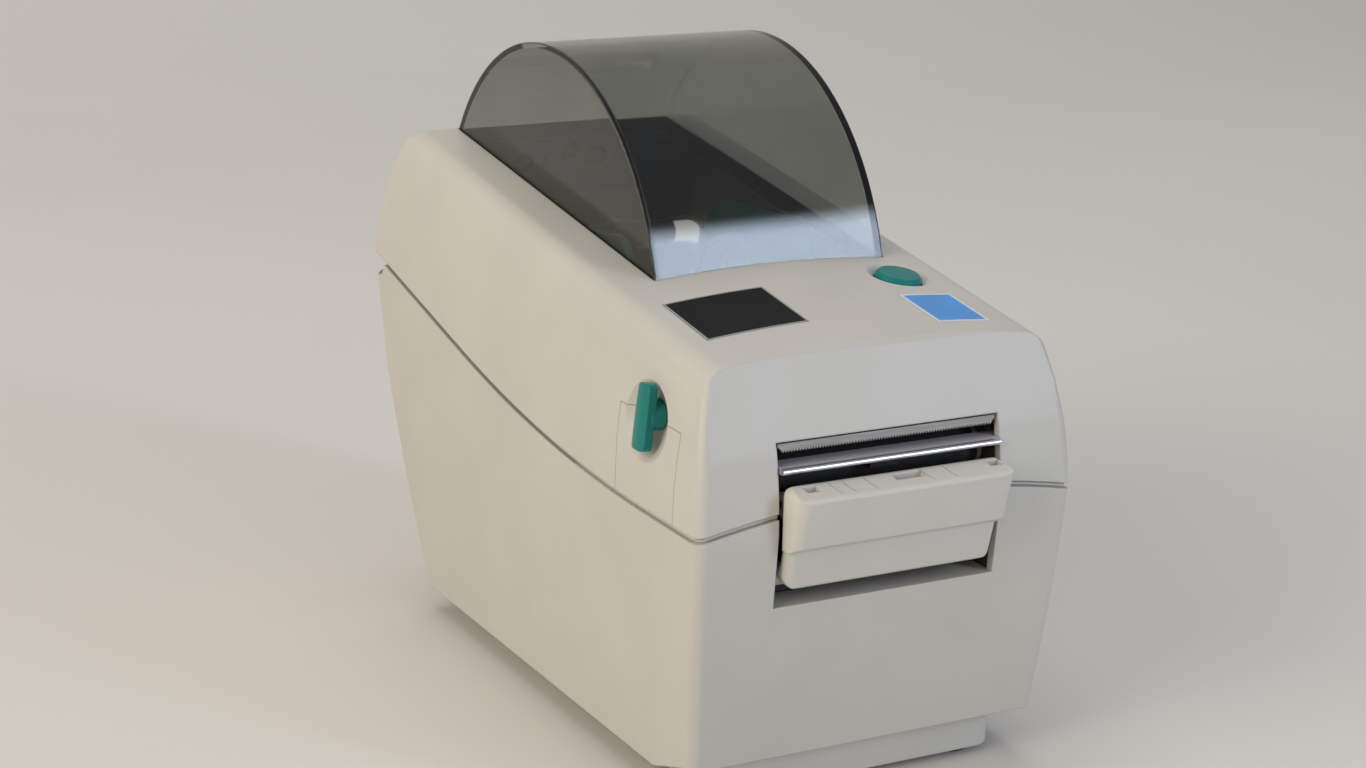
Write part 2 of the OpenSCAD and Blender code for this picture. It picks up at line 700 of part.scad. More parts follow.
// Toothed bar beyond the pinion; a gap faces the pinion's middle at x = 0.
rack_in = -10;
module rack_outline() {
    g = guide_gear_r + 0.08;
    polygon(concat([[guide_rest + 0.5, rack_back], [rack_in, rack_back], [rack_in, g + 1.25]],
        [for (k = [-3:7]) let(c = (k + 0.5) * PI) each [[c - 1.16, g + 1.25], [c - 0.38, g - 0.85],
            [c + 0.38, g - 0.85], [c + 1.16, g + 1.25]]], [[guide_rest + 0.5, g + 1.25]]));
}
module guide_outline() {
    polygon(concat([[roll_y - 20, roll_z - tray_r + 4.2]], [[roll_y - 24, roll_z - 22]],
        arc(roll_y - 33, roll_z + 14, 9, 200, 60, 8), arc(roll_y, roll_z, 21, 75, -30, 10),
        [[roll_y + 20, roll_z - tray_r + 4.2]]));
}
module media_guide_left() media_guide(-1);
module media_guide_right() media_guide(1);
module guide_pinion() {
    color("#d8d8d4") translate([0, roll_y, rack_z0 + 0.1]) difference() {
        linear_extrude(2.9) gear_outline(guide_gear_teeth, 1, 90);
        cylinder(r = pinion_peg_r + run_fit, h = 10, center = true);
    }
}

bush_r = 5;
bush_flange_r = 6;
platen_shaft_r = platen_shaft_d / 2;
gear_x = cheek_out + 4;
module platen_bush(side) {
    color("#e8e4d8") mirror([side < 0 ? 1 : 0, 0, 0]) difference() {
        union() {
            bar_x(cheek_x - 1.2, cheek_out + 0.6, platen_y, platen_z, bush_r);
            bar_x(cheek_out + 0.02, cheek_out + 1.4, platen_y, platen_z, bush_flange_r);
        }
        bar_x(cheek_x - 3, cheek_out + 3, platen_y, platen_z, platen_shaft_r + run_fit);
    }
}
module platen_bush_left() platen_bush(-1);
module platen_bush_right() platen_bush(1);
module platen_roller() {
    color("#2c2c2e") difference() {
        bar_x(-platen_len / 2, platen_len / 2, platen_y, platen_z, platen_d / 2);
        bar_x(-far, far, platen_y, platen_z, platen_shaft_r + seat_fit);
    }
}
module platen_shaft() {
    color("silver") {
        bar_x(-cheek_out - 3, gear_x - 0.3, platen_y, platen_z, platen_shaft_r);
        // D-shaped gear seat
        difference() {
            bar_x(gear_x - 0.3, gear_x + gear_face + 1.5, platen_y, platen_z, platen_shaft_r);
            block(gear_x, far, platen_y - 5, platen_y + 5, platen_z + platen_shaft_r - 0.8, far);
        }
    }
}
// Involute tooth flanks: half angle of the tooth at radius r.
pressure = 20;
function inv(a) = tan(a) * 180 / PI - a;
backlash = 0.1;
function flank(teeth, m, r) =
    let(rp = m * teeth / 2, rb = rp * cos(pressure))
    90 / teeth - backlash * 90 / (PI * rp) + inv(pressure) - (r > rb ? inv(acos(rb / r)) : 0);
function tooth(teeth, m, turn) =
    let(rp = m * teeth / 2, ro = rp + 0.9 * m, ri = rp - 1.25 * m, rb = max(rp * cos(pressure), ri + 0.1),
        rs = [for (i = [0:3]) rb + (ro - rb) * i / 3], foot = flank(teeth, m, rb) * root_share)
    concat([[ri, turn - foot]], [for (r = rs) [r, turn - flank(teeth, m, r)]],
        [for (i = [3:-1:0]) [rs[i], turn + flank(teeth, m, rs[i])]], [[ri, turn + foot]]);
root_share = 0.97;
module gear_outline(teeth, m, turn) {
    pts = [for (k = [0:teeth - 1]) each tooth(teeth, m, turn + k * 360 / teeth)];
    polygon([for (p = pts) [p[0] * cos(p[1]), p[0] * sin(p[1])]]);
}
module gear_x_axis(x, y, z, teeth, turn, face) {
    translate([x, y, z]) rotate([90, 0, 90]) linear_extrude(face) gear_outline(teeth, gear_m, turn);
}
// A tooth of the platen gear points at the idler, and a gap of each follower faces it.
toward_idler = atan2(idler_pos[1] - platen_z, idler_pos[0] - platen_y);
toward_pinion = atan2(motor_z - idler_pos[1], motor_y - idler_pos[0]);
idler_turn = toward_idler + 180 + 180 / idler_teeth;
pinion_turn = toward_pinion + 180 + 180 / pinion_teeth
    + (toward_pinion - idler_turn) * idler_teeth / pinion_teeth;
module platen_gear() {
    color("#f0ede2") difference() {
        union() {
            gear_x_axis(gear_x, platen_y, platen_z, platen_teeth, toward_idler, gear_face);
            bar_x(gear_x + 0.1, gear_x + gear_face + 1, platen_y, platen_z, 5);
        }
        difference() {
            bar_x(gear_x - 1, gear_x + gear_face + 3, platen_y, platen_z, platen_shaft_r + seat_fit);
            block(gear_x - 1, far, platen_y - 5, platen_y + 5,
                platen_z + platen_shaft_r - 0.8 + seat_fit, far);
        }
    }
}
axle_r = 2;
module idler_gear() {
    color("#f0ede2") difference() {
        union() {
            gear_x_axis(gear_x, idler_pos[0], idler_pos[1], idler_teeth, idler_turn, gear_face);
            bar_x(gear_x - 1, gear_x + gear_face + 0.8, idler_pos[0], idler_pos[1], 4);
        }
        bar_x(gear_x - 3, gear_x + gear_face + 3, idler_pos[0], idler_pos[1], axle_r + run_fit);
        // web recess
        difference() {
            bar_x(gear_x + gear_face - 1.2, gear_x + gear_face + 2, idler_pos[0], idler_pos[1], 10);
            bar_x(gear_x, gear_x + gear_face + 3, idler_pos[0], idler_pos[1], 4);
        }
    }
}
module idler_axle() {
    color("silver") {
        bar_x(cheek_x + 0.3, gear_x + gear_face + 2, idler_pos[0], idler_pos[1], axle_r);
        bar_x(gear_x + gear_face + 1.1, gear_x + gear_face + 2, idler_pos[0], idler_pos[1], axle_r + 1.2);
    }
}
motor_hole = (motor_d / 2 + 3.5) * sin(45);
motor_shaft_r = 1.3;
module motor_pinion() {
    color("#c9a44c") difference() {
        gear_x_axis(gear_x - 1, motor_y, motor_z, pinion_teeth, pinion_turn, gear_face + 2);
        bar_x(gear_x - 2, gear_x + gear_face + 3, motor_y, motor_z, motor_shaft_r + seat_fit);
    }
    color("silver") bar_x(cheek_out + 0.6, gear_x + gear_face + 2, motor_y, motor_z, motor_shaft_r);
}
module stepper_motor() {
    x1 = cheek_x - 0.02;
    color("#b9bcc0") {
        bar_x(x1 - motor_len, x1 - 1, motor_y, motor_z, motor_d / 2);
        difference() {
            across(x1 - 1.2, x1) motor_flange_outline();
            for (s = [-1, 1]) bar_x(x1 - 3, x1 + 1, motor_y - s * motor_hole, motor_z + s * motor_hole,
                screw_r + run_fit);
        }
        bar_x(x1 - 0.5, cheek_out + 0.3, motor_y, motor_z, 5);
    }
}
module motor_flange_outline() {
    translate([motor_y, motor_z]) {
        circle(r = motor_d / 2 - 1);
        rotate(-45) square([2 * motor_hole / sin(45), 6.8], center = true);
    }
    for (s = [-1, 1]) translate([motor_y - s * motor_hole, motor_z + s * motor_hole]) circle(r = 3.4);
}
module motor_screws() {
    color("silver") for (s = [-1, 1])
        translate([cheek_out, motor_y - s * motor_hole, motor_z + s * motor_hole])
            rotate([0, 90, 0]) motor_screw();
}
module motor_screw() {
    cylinder(r = 2.6, h = 1.6);
    translate([0, 0, -cheek_t - 3]) cylinder(r = screw_r, h = cheek_t + 3);
}

peel_top = platen_z + 5.95;
peel_t = 1.5;
peel_front = front_y - 0.4;
peel_rear = platen_y - platen_d / 2 - 1;
module peel_bar() {
    color("#d5d7da") {
        across(-slot_w / 2 + 0.6, slot_w / 2 - 0.6)
            polygon(concat(arc(peel_front + peel_t / 2, peel_top - peel_t / 2, peel_t / 2, 90, 270, 8),
                [[peel_rear, peel_top - peel_t], [peel_rear, peel_top]]));
        block(-cheek_out - 0.6, cheek_out + 0.6, peel_rear - 2.4, peel_rear, peel_top - peel_t, peel_top);
    }
}

// Door outline: a leaning panel with a thicker bar along its top.
door_foot = [front_y, door_z - 1.8];
door_step_z = door_z + 10;
door_top_z = peel_top - peel_t - 2.85;
door_bar_z = door_top_z - 2.2;
function door_face(z) = door_foot[0] - (z - door_foot[1]) * tan(door_lean);
bar_front = front_y - door_out;
pinch_y = platen_y - (platen_d + pinch_d) / 2 * cos(23) - part_fit;
pinch_z = platen_z - (platen_d + pinch_d) / 2 * sin(23);
module dispenser_door() {
    hw = door_w / 2;
    color("#ddd8c8") difference() {
        union() {
            // leaning panel
            intersection() {
                across(-hw, hw) polygon([[door_foot[0] + 0.8, door_foot[1] - 0.5],
                    [door_foot[0] - 1.2, door_foot[1] + 0.8],
                    [door_face(door_step_z) - 1.2, door_step_z], [front_y - 1.5, door_step_z + 2],
                    [front_y + 0.2, door_step_z + 2], [front_y + 2.2, door_step_z - 6],
                    [door_y - 3, door_z + 1], [door_y - 2.4, door_foot[1] - 0.5]]);
                translate([0, far / 2, door_foot[1] - 0.5]) rotate([90, 0, 0]) linear_extrude(far)
                    polygon(rounded_ends(hw - 0.8, 40, 4));
                leaning_block(hw - 0.8, door_foot[0], door_foot[1], 2.5);
            }
            // thicker bar along the top
            intersection() {
                across(-hw, hw) polygon([[door_face(door_step_z - 1.6), door_step_z - 1.6],
                    [bar_front - 1, door_step_z + 2.4], [bar_front - 1, door_bar_z - 0.8],
                    [bar_front + 0.9, door_bar_z + 0.8], [front_y - 0.4, door_top_z],
                    [front_y + 0.2, door_top_z - 0.6], [front_y + 0.2, door_step_z - 1.6]]);
                translate([0, -far / 2, door_top_z + 0.02]) rotate([-90, 0, 0]) linear_extrude(far)
                    polygon(rounded_ends(hw, 40, 2.4));
                leaning_block(hw, bar_front + 3.4, door_step_z, 3);
            }
            both_sides() bar_x(hw - 8, hw - 0.8, door_y, door_z, 2.9);
            both_sides() across(hw - 4, hw - 1.6) door_arm();
        }
        // paper guide slots in the top
        for (p = [[6 - hw, 1.9], [2.6, 4.3], [hw - 3.1, 1.9]])
            block(p[0] - p[1], p[0] + p[1], front_y - 4.3, front_y - 1.5, door_bar_z - 2, far);
        both_sides() bar_x(hw - 9, hw + 1, door_y, door_z, door_pin_r + seat_fit);
        both_sides() bar_x(hw - 5, hw, pinch_y, pinch_z, pinch_shaft_r + run_fit);
    }
}
// Outline with its two lowest corners rounded, rising from z = 0.
function rounded_ends(hw, h, r) =
    concat([[hw, h], [-hw, h]], arc(r - hw, r, r, 180, 270, 5), arc(hw - r, r, r, 270, 360, 5));
// Block with rounded upright edges, whose front leans with the door and passes through (y, z).
module leaning_block(hw, y, z, r) {
    translate([0, y, z]) rotate([door_lean, 0, 0]) translate([0, 0, -30]) linear_extrude(70)
        polygon(rounded_rect(hw, 0, 30, r));
}
module door_arm() {
    polygon(concat([[front_y - 1, pinch_z - 5]], arc(pinch_y, pinch_z, 2.7, -90, 90, 8),
        [[front_y - 1, pinch_z + 4.4]]));
}
module door_pins() {
    color("silver") both_sides() bar_x(door_w / 2 - 8, cheek_out - 0.4, door_y, door_z, door_pin_r);
}
pinch_shaft_r = 1.2;
module pinch_roller() {
    color("#3a3a3c") difference() {
        bar_x(-door_w / 2 + 6, door_w / 2 - 6, pinch_y, pinch_z, pinch_d / 2);
        bar_x(-far, far, pinch_y, pinch_z, pinch_shaft_r + seat_fit);
    }
}
module pinch_shaft() {
    color("silver") bar_x(1.8 - door_w / 2, door_w / 2 - 1.8, pinch_y, pinch_z, pinch_shaft_r);
}
module label_sensor() {
    color("#26262a") block(-4, 4, peel_rear - 3, peel_rear, peel_top - peel_t - 3, peel_top - peel_t);
}
module media_sensor() {
    color("#26262a") block(-8.8, 8.8, platen_y + 23.2, platen_y + 30.8, platen_z - 8, platen_z + 1.5);
}

dish_r = 15;
function wall_x(y, z) = high_half_w(roof_w(y, z));
dish_x = wall_x(lever_y, lever_z) + sqrt(dish_r * dish_r - dish_d * dish_d / 4);
dish_back = dish_x - dish_r - 2.6;
lever_seat = dish_x - dish_r + 2.4;
panel_half_d = 15.5;
panel_y = lever_y - 1.5;

module window_opening(g) {
    bar_x(-window_w / 2 - g, window_w / 2 + g, roll_y, roll_z, window_r + g);
}
// Roof and walls with everything moulded to their inside.
module cover_shell() {
    difference() {
        intersection() {
            upper_form(0);
            union() {
                difference() {
                    block(-far, far, -far, far, 0, far);
                    upper_form(wall);
                }
                dish_backing();
                cover_bosses();
                cover_ribs();
            }
        }
        above_seam_negative();
        lever_dish();
        // rebate over the locating lip
        intersection() {
            body_form(wall - lip_t - 0.2);
            above_seam_band();
        }
    }
}
// Stiffening ribs under the roof, beside and ahead of the window.
module cover_ribs() {
    on_roof_axes() {
        both_sides() translate([window_w / 2 + 6.5, window_in + 8, roof_h - wall - 5])
            cube([rib_t, body_d - 88, 12]);
        translate([-20, 26, roof_h - wall - 2.5]) cube([40, rib_t, 12]);
    }
}
module dish_backing() {
    both_sides() bar_x(dish_back, half_w, lever_y, lever_z, dish_d / 2 + 2.2);
}
module lever_dish() {
    both_sides() translate([dish_x, lever_y, lever_z]) sphere(r = dish_r);
    bar_x(-far, far, lever_y, lever_z, lever_shaft_r + run_fit);
}
module above_seam_negative() {
    difference() {
        block(-half_w - 5, half_w + 5, -far, far, -1, far);
        above_seam(seam_gap);
    }
}
module above_seam_band() {
    difference() {
        block(-half_w - 4, half_w + 4, -far, far, 0, far);
        above_seam(lip_h + 0.4);
    }
}
module panel_region(g) {
    both_sides() block(dish_back - 1, far, panel_y - panel_half_d - g, panel_y + panel_half_d + g, 0,
        lever_z + g);
}
module top_cover() {
    color("#dcd5c1") difference() {
        union() {
            cover_shell();
            bar_x(-hinge_x, hinge_x, hinge_y, hinge_z, hinge_r);
        }
        panel_region(0);
        window_opening(0.25);
        block(-slot_w / 2, slot_w / 2, front_y - 5, front_y + 12, 0, slot_top);
        both_sides() bar_x(ear_x0 - 0.3, ear_x1 + 0.3, hinge_y, hinge_z, hinge_relief);
        both_sides() block(ear_x0 - 0.3, ear_x1 + 0.3, hinge_y - hinge_r - 4, hinge_y, hinge_z - 10,
            hinge_z);
        both_sides() bar_x(ear_x0 - 5, ear_x1 + 5, hinge_y, hinge_z, hinge_pin_r + seat_fit);
        button_hole();
        for (x = [-1, 1]) translate([x * head_boss_x, head_boss_y, head_top - 1])
            cylinder(r = screw_r - 0.2, h = 5.8);
        at_tear() for (x = [-1, 1]) translate([x * tear_screw_x, -2.2, tear_screw_h]) rotate([-90, 0, 0])
            cylinder(r = screw_r - 0.2, h = 4);
        label_recess(name_at, name_size);
        label_recess(notice_at, notice_size);
    }
}
head_half_w = slot_w / 2 - 3.1;
// Bosses under the roof for the head bracket, the tear bar and the button board.
module cover_bosses() {
    for (x = [-1, 1]) translate([x * head_boss_x, head_boss_y, head_top]) cylinder(r = 3.5, h = 12);
    at_tear() for (x = [-1, 1]) translate([x * tear_screw_x, 0, tear_screw_h]) rotate([90, 0, 0])
        cylinder(r = 3, h = 5);
    at_button() {
        translate([0, 0, -5.2]) cylinder(r = button_d / 2 + 2.4, h = 5);
        for (x = [-8.2, 8.2], y = [-7.4, 5.5]) translate([x, y, -12.2]) cylinder(r = 1.5, h = 12);
    }
}
head_boss_x = head_half_w - 5;
head_boss_y = platen_y + 3.5;
head_top = platen_z + 26.5;
tear_y = front_y + 5.3;
tear_low = platen_z + 8.6;
tear_lean = 15;
tear_h = 10;
tear_screw_x = slot_w / 2 - 10;
tear_screw_h = 6.6;
tear_t = 1;
module at_tear() {
    translate([0, tear_y, tear_low]) rotate([-tear_lean, 0, 0]) children();
}

button_at = [half_w - 23.5, roof_v(front_y + 49.6, 122)];
switch_top = -9.1;
module at_button() {
    on_roof_axes() translate([button_at[0], button_at[1], roof_h - pow(button_at[0], 2) / (2 * crown_r)])
        rotate([0, asin(button_at[0] / crown_r), 0]) children();
}
module button_hole() {
    at_button() {
        translate([0, 0, -10]) cylinder(r = button_d / 2 + part_fit, h = 20);
        translate([0, 0, 9.6]) sphere(r = 13);
    }
}
module feed_button() {
    color("#109080") at_button() {
        translate([0, 0, -5.6]) cylinder(r = button_d / 2, h = 5.2);
        translate([0, 0, -0.4 - eps]) cylinder(r1 = button_d / 2, r2 = button_d / 2 - 0.8, h = 0.9);
        translate([0, 0, -6.6]) cylinder(r = button_d / 2 + 1.2, h = 1);
        translate([0, 0, switch_top + button_travel])
            cylinder(r = 1.6, h = -6 - switch_top - button_travel);
    }
}
module button_board() {
    color("#1f6b3a") at_button() translate([-9.8, -9, -13.6]) cube([19.6, 16.2, 1.38]);
    color("#222222") at_button() translate([-3, -3, -12.25]) cube([6, 6, 12.25 + switch_top]);
}

name_at = [29.2 - half_w, front_y + 36.5];
name_size = [28.5, 24];
notice_at = [half_w - 24.7, front_y + 25.7];
notice_size = [15.5, 19];
label_deep = 0.3;
module label_column(at, size, g) {
    translate([at[0] - size[0] / 2 - g, at[1] - size[1] / 2 - g, seam_z])
        cube([size[0] + 2 * g, size[1] + 2 * g, 60]);
}
module label_recess(at, size) {
    difference() {
        label_column(at, size, 0.1);
        roof_block(label_deep);
    }
}
// Only the crowned roof, solid below, for cutting flat labels to it.
module roof_block(t) {
    on_roof_axes() translate([0, roof_len + 50, 0]) rotate([90, 0, 0])
        linear_extrude(roof_len + 100) roof_outline(t);
}
module roof_label(at, size) {
    intersection() {
        label_column(at, size, 0);
        difference() {
            roof_block(-0.1);
            roof_block(label_deep - seat_fit);
        }
    }
}
module name_panel() color("#1d1d20") roof_label(name_at, name_size);
module notice_panel() color("#3f9be0") roof_label(notice_at, notice_size);

module roll_window() {
    color("#5c605c", 0.5) difference() {
        union() {
            window_opening(0);
            on_roof_axes() translate([-window_w / 2 - 3, roof_v(roll_y, roll_z) - flange_reach, flange_w])
                cube([window_w + 6, 2 * flange_reach, 1.5]);
        }
        bar_x(-window_w / 2 + window_wall, window_w / 2 - window_wall, roll_y, roll_z,
            window_r - window_wall);
        on_roof_axes() translate([-far, -far, -far]) cube([2 * far, 2 * far, far + flange_w]);
    }
}
flange_w = roof_h - wall - 3.8;
flange_reach = window_r - 5.2;

// Separate part of the side wall that closes the lever shaft's bearing from below.
module latch_panel(side) {
    gap = 0.12;
    color("#d6d0bf") mirror([side < 0 ? 1 : 0, 0, 0]) difference() {
        intersection() {
            body_form(0);
            block(dish_back - 1, far, panel_y - panel_half_d + gap, panel_y + panel_half_d - gap,
                seam_z + seam_gap, lever_z - gap);
            union() {
                difference() {
                    block(0, far, -far, far, 0, far);
                    body_form(wall);
                }
                dish_backing();
            }
        }
        lever_dish();
        block(0, half_w - wall + lip_t + 0.2, -far, far, 0, seam_z + lip_h + 0.5);
        above_seam_negative();
    }
}
module latch_panel_left() latch_panel(-1);
module latch_panel_right() latch_panel(1);

module hinge_pins() {
    color("silver") both_sides() bar_x(ear_x0 - 4.5, ear_x1 + 4.5, hinge_y, hinge_z, hinge_pin_r);
}

tear_pitch = 0.8;
tear_step = 2.6;
// Stepped plate: screwed inside the front, with its toothed edge flush with the slot.
module tear_bar() {
    n = floor((slot_w - 3.2) / tear_pitch);
    x0 = -n * tear_pitch / 2;
    color("#c9ccd0") at_tear() {
        difference() {
            across(x0 - 1, -x0 + 1) polygon([[-tear_step, 1.4], [-tear_step, 2.3], [0, 2.95], [0, tear_h],
                [tear_t, tear_h], [tear_t, 2], [tear_t - tear_step, 1.4]]);
            for (x = [-1, 1]) translate([x * tear_screw_x, -1, tear_screw_h]) rotate([-90, 0, 0])
                cylinder(r = screw_r + run_fit, h = 3);
        }
        translate([0, tear_t - tear_step, 0]) rotate([90, 0, 0]) linear_extrude(tear_t) polygon(concat(
            [for (i = [0:n - 1]) each [[x0 + i * tear_pitch, 0.6], [x0 + (i + 0.5) * tear_pitch, 0]]],
            [[-x0, 0.6], [1 - x0, 1.6], [x0 - 1, 1.6]]));
    }
}
module tear_bar_screws() {
    color("silver") at_tear() for (x = [-1, 1]) translate([x * tear_screw_x, tear_t, tear_screw_h])
        rotate([-90, 0, 0]) pan_screw(3, 2.6, 1.2);
}

// Print head, pressed down by two springs under its bracket.
head_front = platen_y - 4;
head_rear = platen_y + 11;
head_low = platen_z + platen_d / 2 + part_fit;
module head_bracket() {
    color("#a9acb0") difference() {
        union() {
            block(-head_half_w - 2, head_half_w + 2, head_front - 0.4, head_rear + 0.4, head_top - 1.6,
                head_top);
            both_sides() block(head_half_w + 0.4, head_half_w + 2, head_front - 0.4, head_rear + 0.4,
                head_top - 14, head_top);
        }
        for (x = [-1, 1]) translate([x * head_boss_x, head_boss_y, 0])
            cylinder(r = screw_r + run_fit, h = far);
    }
}
module head_screws() {
    color("silver") for (x = [-1, 1]) translate([x * head_boss_x, head_boss_y, head_top - 1.6])
        mirror([0, 0, 1]) pan_screw(5.6, 2.8, 1.6);
}
module heat_sink() {
    z0 = head_low + 2;
    color("#b8bbbe") difference() {
        block(-head_half_w, head_half_w, head_front, head_rear, z0, z0 + 9);
        for (i = [0:3]) block(-far, far, head_front + 2 + i * 3.4, head_front + 3.7 + i * 3.4, z0 + 3, far);
    }
}
module print_head() {
    color("#e4dfd0") block(-head_half_w + 1, head_half_w - 1, head_front + 0.5, head_rear - 4, head_low,
        head_low + 2);
}
module head_springs() {
    z0 = head_low + 11;
    h = head_top - 1.6 - z0;
    n = 5;
    color("silver") for (x = [-12, 12]) translate([x, head_boss_y, z0]) for (i = [0:n - 1])
        translate([0, 0, 0.5 + i * (h - 1) / (n - 1)]) rotate_extrude($fn = 24)
            translate([3, 0]) circle(r = 0.5, $fn = 14);
}

module latch_shaft() {
    color("silver") bar_x(-lever_seat, lever_seat, lever_y, lever_z, lever_shaft_r);
}
module latch_hooks() {
    color("#b9bcc0") both_sides() difference() {
        across(cheek_out + 0.6, cheek_out + 2.8) hook_outline();
        bar_x(0, far, lever_y, lever_z, lever_shaft_r + seat_fit);
    }
}
module hook_outline() {
    translate([lever_y, lever_z]) polygon(concat(arc(0, 0, 4.6, -20, 200, 12),
        [[-1.6, -6], [-1.6, -12.8], [-3.6, -12.8], [-3.6, -14], [-1, -17], [1.8, -17], [2.4, -6]]));
}
module latch_spring() {
    color("silver") for (i = [0:3]) translate([head_half_w + 3 + i * 1.1, lever_y, lever_z])
        rotate([0, 90, 0]) rotate_extrude($fn = 24)
            translate([lever_shaft_r + 0.7, 0]) circle(r = 0.55, $fn = 14);
}
// Lever: a crowned blade standing off the dish on a hub.
lever_lean = 5;
lever_hub_r = 4;
module release_lever(side) {
    wx = wall_x(lever_y, lever_z);
    color("#0f8f7c") mirror([side < 0 ? 1 : 0, 0, 0]) difference() {
        union() {
            intersection() {
                translate([wx, lever_y, lever_z]) rotate([0, -lever_lean, 0]) across(-0.2, lever_out)
                    blade_outline();
                translate([wx + lever_out - 9, lever_y - 0.4, lever_z]) rotate([0, -lever_lean, 0])
                    cylinder(r = 9, h = 40, center = true);
            }
            bar_x(dish_x - dish_r + 0.95, wx + 0.6, lever_y, lever_z, lever_hub_r);
        }
        bar_x(0, lever_seat + seat_fit, lever_y, lever_z, lever_shaft_r + seat_fit);
    }
}
// The blade widens downwards and stands a little forward at its top.
module blade_outline() {
    polygon(concat(arc(-0.4, 6.9, 1.6, 8, 90, 5), arc(-2.2, 6.9, 1.6, 90, 178, 5),
        arc(-2.2, -7.2, 1.4, 182, 270, 5), arc(2.2, -7.2, 1.4, 270, 352, 5)));
}
module release_lever_left() release_lever(-1);
module release_lever_right() release_lever(1);

base_housing();
bottom_pan();
rubber_feet();
pan_screws();
print_frame();
frame_screws();
media_tray();
peel_bar();
media_sensor();
main_board();
serial_socket();
usb_socket();
power_inlet();
power_switch();
power_rocker();
stepper_motor();
motor_screws();
idler_axle();
platen_bush_left();
platen_bush_right();
platen_roller();
platen_shaft();
platen_gear();
idler_gear();
motor_pinion();
dispenser_door();
door_pins();
pinch_roller();
pinch_shaft();
label_sensor();
media_guide_left();
media_guide_right();
guide_pinion();
top_cover();
roll_window();
latch_panel_left();
latch_panel_right();
name_panel();
notice_panel();
tear_bar();
tear_bar_screws();
head_bracket();
head_springs();
heat_sink();
print_head();
head_screws();
hinge_pins();
button_board();
feed_button();
latch_shaft();
latch_hooks();
latch_spring();
release_lever_left();
release_lever_right();
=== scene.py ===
import bpy
import bmesh
import math
from mathutils import Matrix, Quaternion, Vector


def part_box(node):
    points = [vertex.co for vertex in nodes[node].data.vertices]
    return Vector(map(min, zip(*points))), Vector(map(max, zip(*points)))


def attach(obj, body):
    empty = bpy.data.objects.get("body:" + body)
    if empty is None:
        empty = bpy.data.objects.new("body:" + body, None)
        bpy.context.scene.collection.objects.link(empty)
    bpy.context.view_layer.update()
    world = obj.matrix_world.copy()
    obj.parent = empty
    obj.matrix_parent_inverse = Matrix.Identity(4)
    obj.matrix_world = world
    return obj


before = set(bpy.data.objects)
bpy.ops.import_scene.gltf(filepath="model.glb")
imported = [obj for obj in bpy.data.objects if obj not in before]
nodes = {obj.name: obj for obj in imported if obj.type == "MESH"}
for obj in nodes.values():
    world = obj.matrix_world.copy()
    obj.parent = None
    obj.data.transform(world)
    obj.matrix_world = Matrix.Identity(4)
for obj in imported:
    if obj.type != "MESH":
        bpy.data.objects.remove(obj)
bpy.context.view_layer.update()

print("frame loaded:", len(nodes), "nodes")


def mm(*values):
    return Vector([v / 1000 for v in values])


view = {"azimuth": -28.2, "elevation": 15.8, "roll": 1.2, "distance": 750.8,
        "target": (-2.4, 6.6, 81.6), "lens": 70.82, "sensor": 36, "nearest": 0.02}


def makeCamera():
    az, el, roll = (math.radians(view[k]) for k in ("azimuth", "elevation", "roll"))
    back = Vector((math.sin(az) * math.cos(el), -math.cos(az) * math.cos(el), math.sin(el)))
    right = (-back).cross(Vector((0, 0, 1))).normalized()
    up = right.cross(-back)
    side = right * math.cos(roll) + up * math.sin(roll)
    top = up * math.cos(roll) - right * math.sin(roll)
    cam = bpy.data.cameras.new("camera")
    cam.lens = view["lens"]
    cam.sensor_width = view["sensor"]
    cam.clip_start = view["nearest"]
    camObj = bpy.data.objects.new("camera", cam)
    place = mm(*view["target"]) + back * view["distance"] / 1000
    camObj.matrix_world = Matrix.Translation(place) @ Matrix((side, top, back)).transposed().to_4x4()
    bpy.context.collection.objects.link(camObj)
    bpy.context.scene.camera = camObj


makeCamera()
bpy.context.scene.view_settings.view_transform = "Standard"
print("camera set")


def addNode(tree, kind, **settings):
    node = tree.nodes.new(kind)
    for key, value in settings.items():
        setattr(node, key, value)
    return node


def feed(tree, source, target):
    tree.links.new(source, target)


def giveInput(tree, socket, value):  # a link, a plain number or a vector
    if hasattr(value, "links"):
        feed(tree, value, socket)
    else:
        socket.default_value = value


def mathNode(tree, operation, first, second=None, clamp=False):
    node = addNode(tree, "ShaderNodeMath", operation=operation, use_clamp=clamp)
    for i, value in enumerate((first, second)):
        if value is not None:
            giveInput(tree, node.inputs[i], value)
    return node.outputs[0]


def rampNode(tree, source, low, high, toLow=0.0, toHigh=1.0):
    node = addNode(tree, "ShaderNodeMapRange", interpolation_type="SMOOTHSTEP")
    feed(tree, source, node.inputs["Value"])
    for name, value in (("From Min", low), ("From Max", high), ("To Min", toLow), ("To Max", toHigh)):
        giveInput(tree, node.inputs[name], value)
    return node.outputs["Result"]


def mixColour(tree, mask, first, second):
    node = addNode(tree, "ShaderNodeMix", data_type="RGBA")
    for name, value in (("Factor_Float", mask), ("A_Color", first), ("B_Color", second)):
        socket = next(s for s in node.inputs if s.identifier == name)
        giveInput(tree, socket, (*value, 1) if isinstance(value, tuple) else value)
    return next(s for s in node.outputs if s.identifier == "Result_Color")


def objectPoint(tree):
    return addNode(tree, "ShaderNodeTexCoord").outputs["Object"]


def stretchedPoint(tree, scale=(1, 1, 1)):
    point = objectPoint(tree)
    mapping = addNode(tree, "ShaderNodeMapping")
    mapping.inputs["Scale"].default_value = scale
    feed(tree, point, mapping.inputs["Vector"])
    return mapping.outputs["Vector"]


def noise(tree, point, scale, detail=2.0, roughness=0.5):
    node = addNode(tree, "ShaderNodeTexNoise")
    feed(tree, point, node.inputs["Vector"])
    for name, value in (("Scale", scale), ("Detail", detail), ("Roughness", roughness)):
        giveInput(tree, node.inputs[name], value)
    return node.outputs["Fac"]


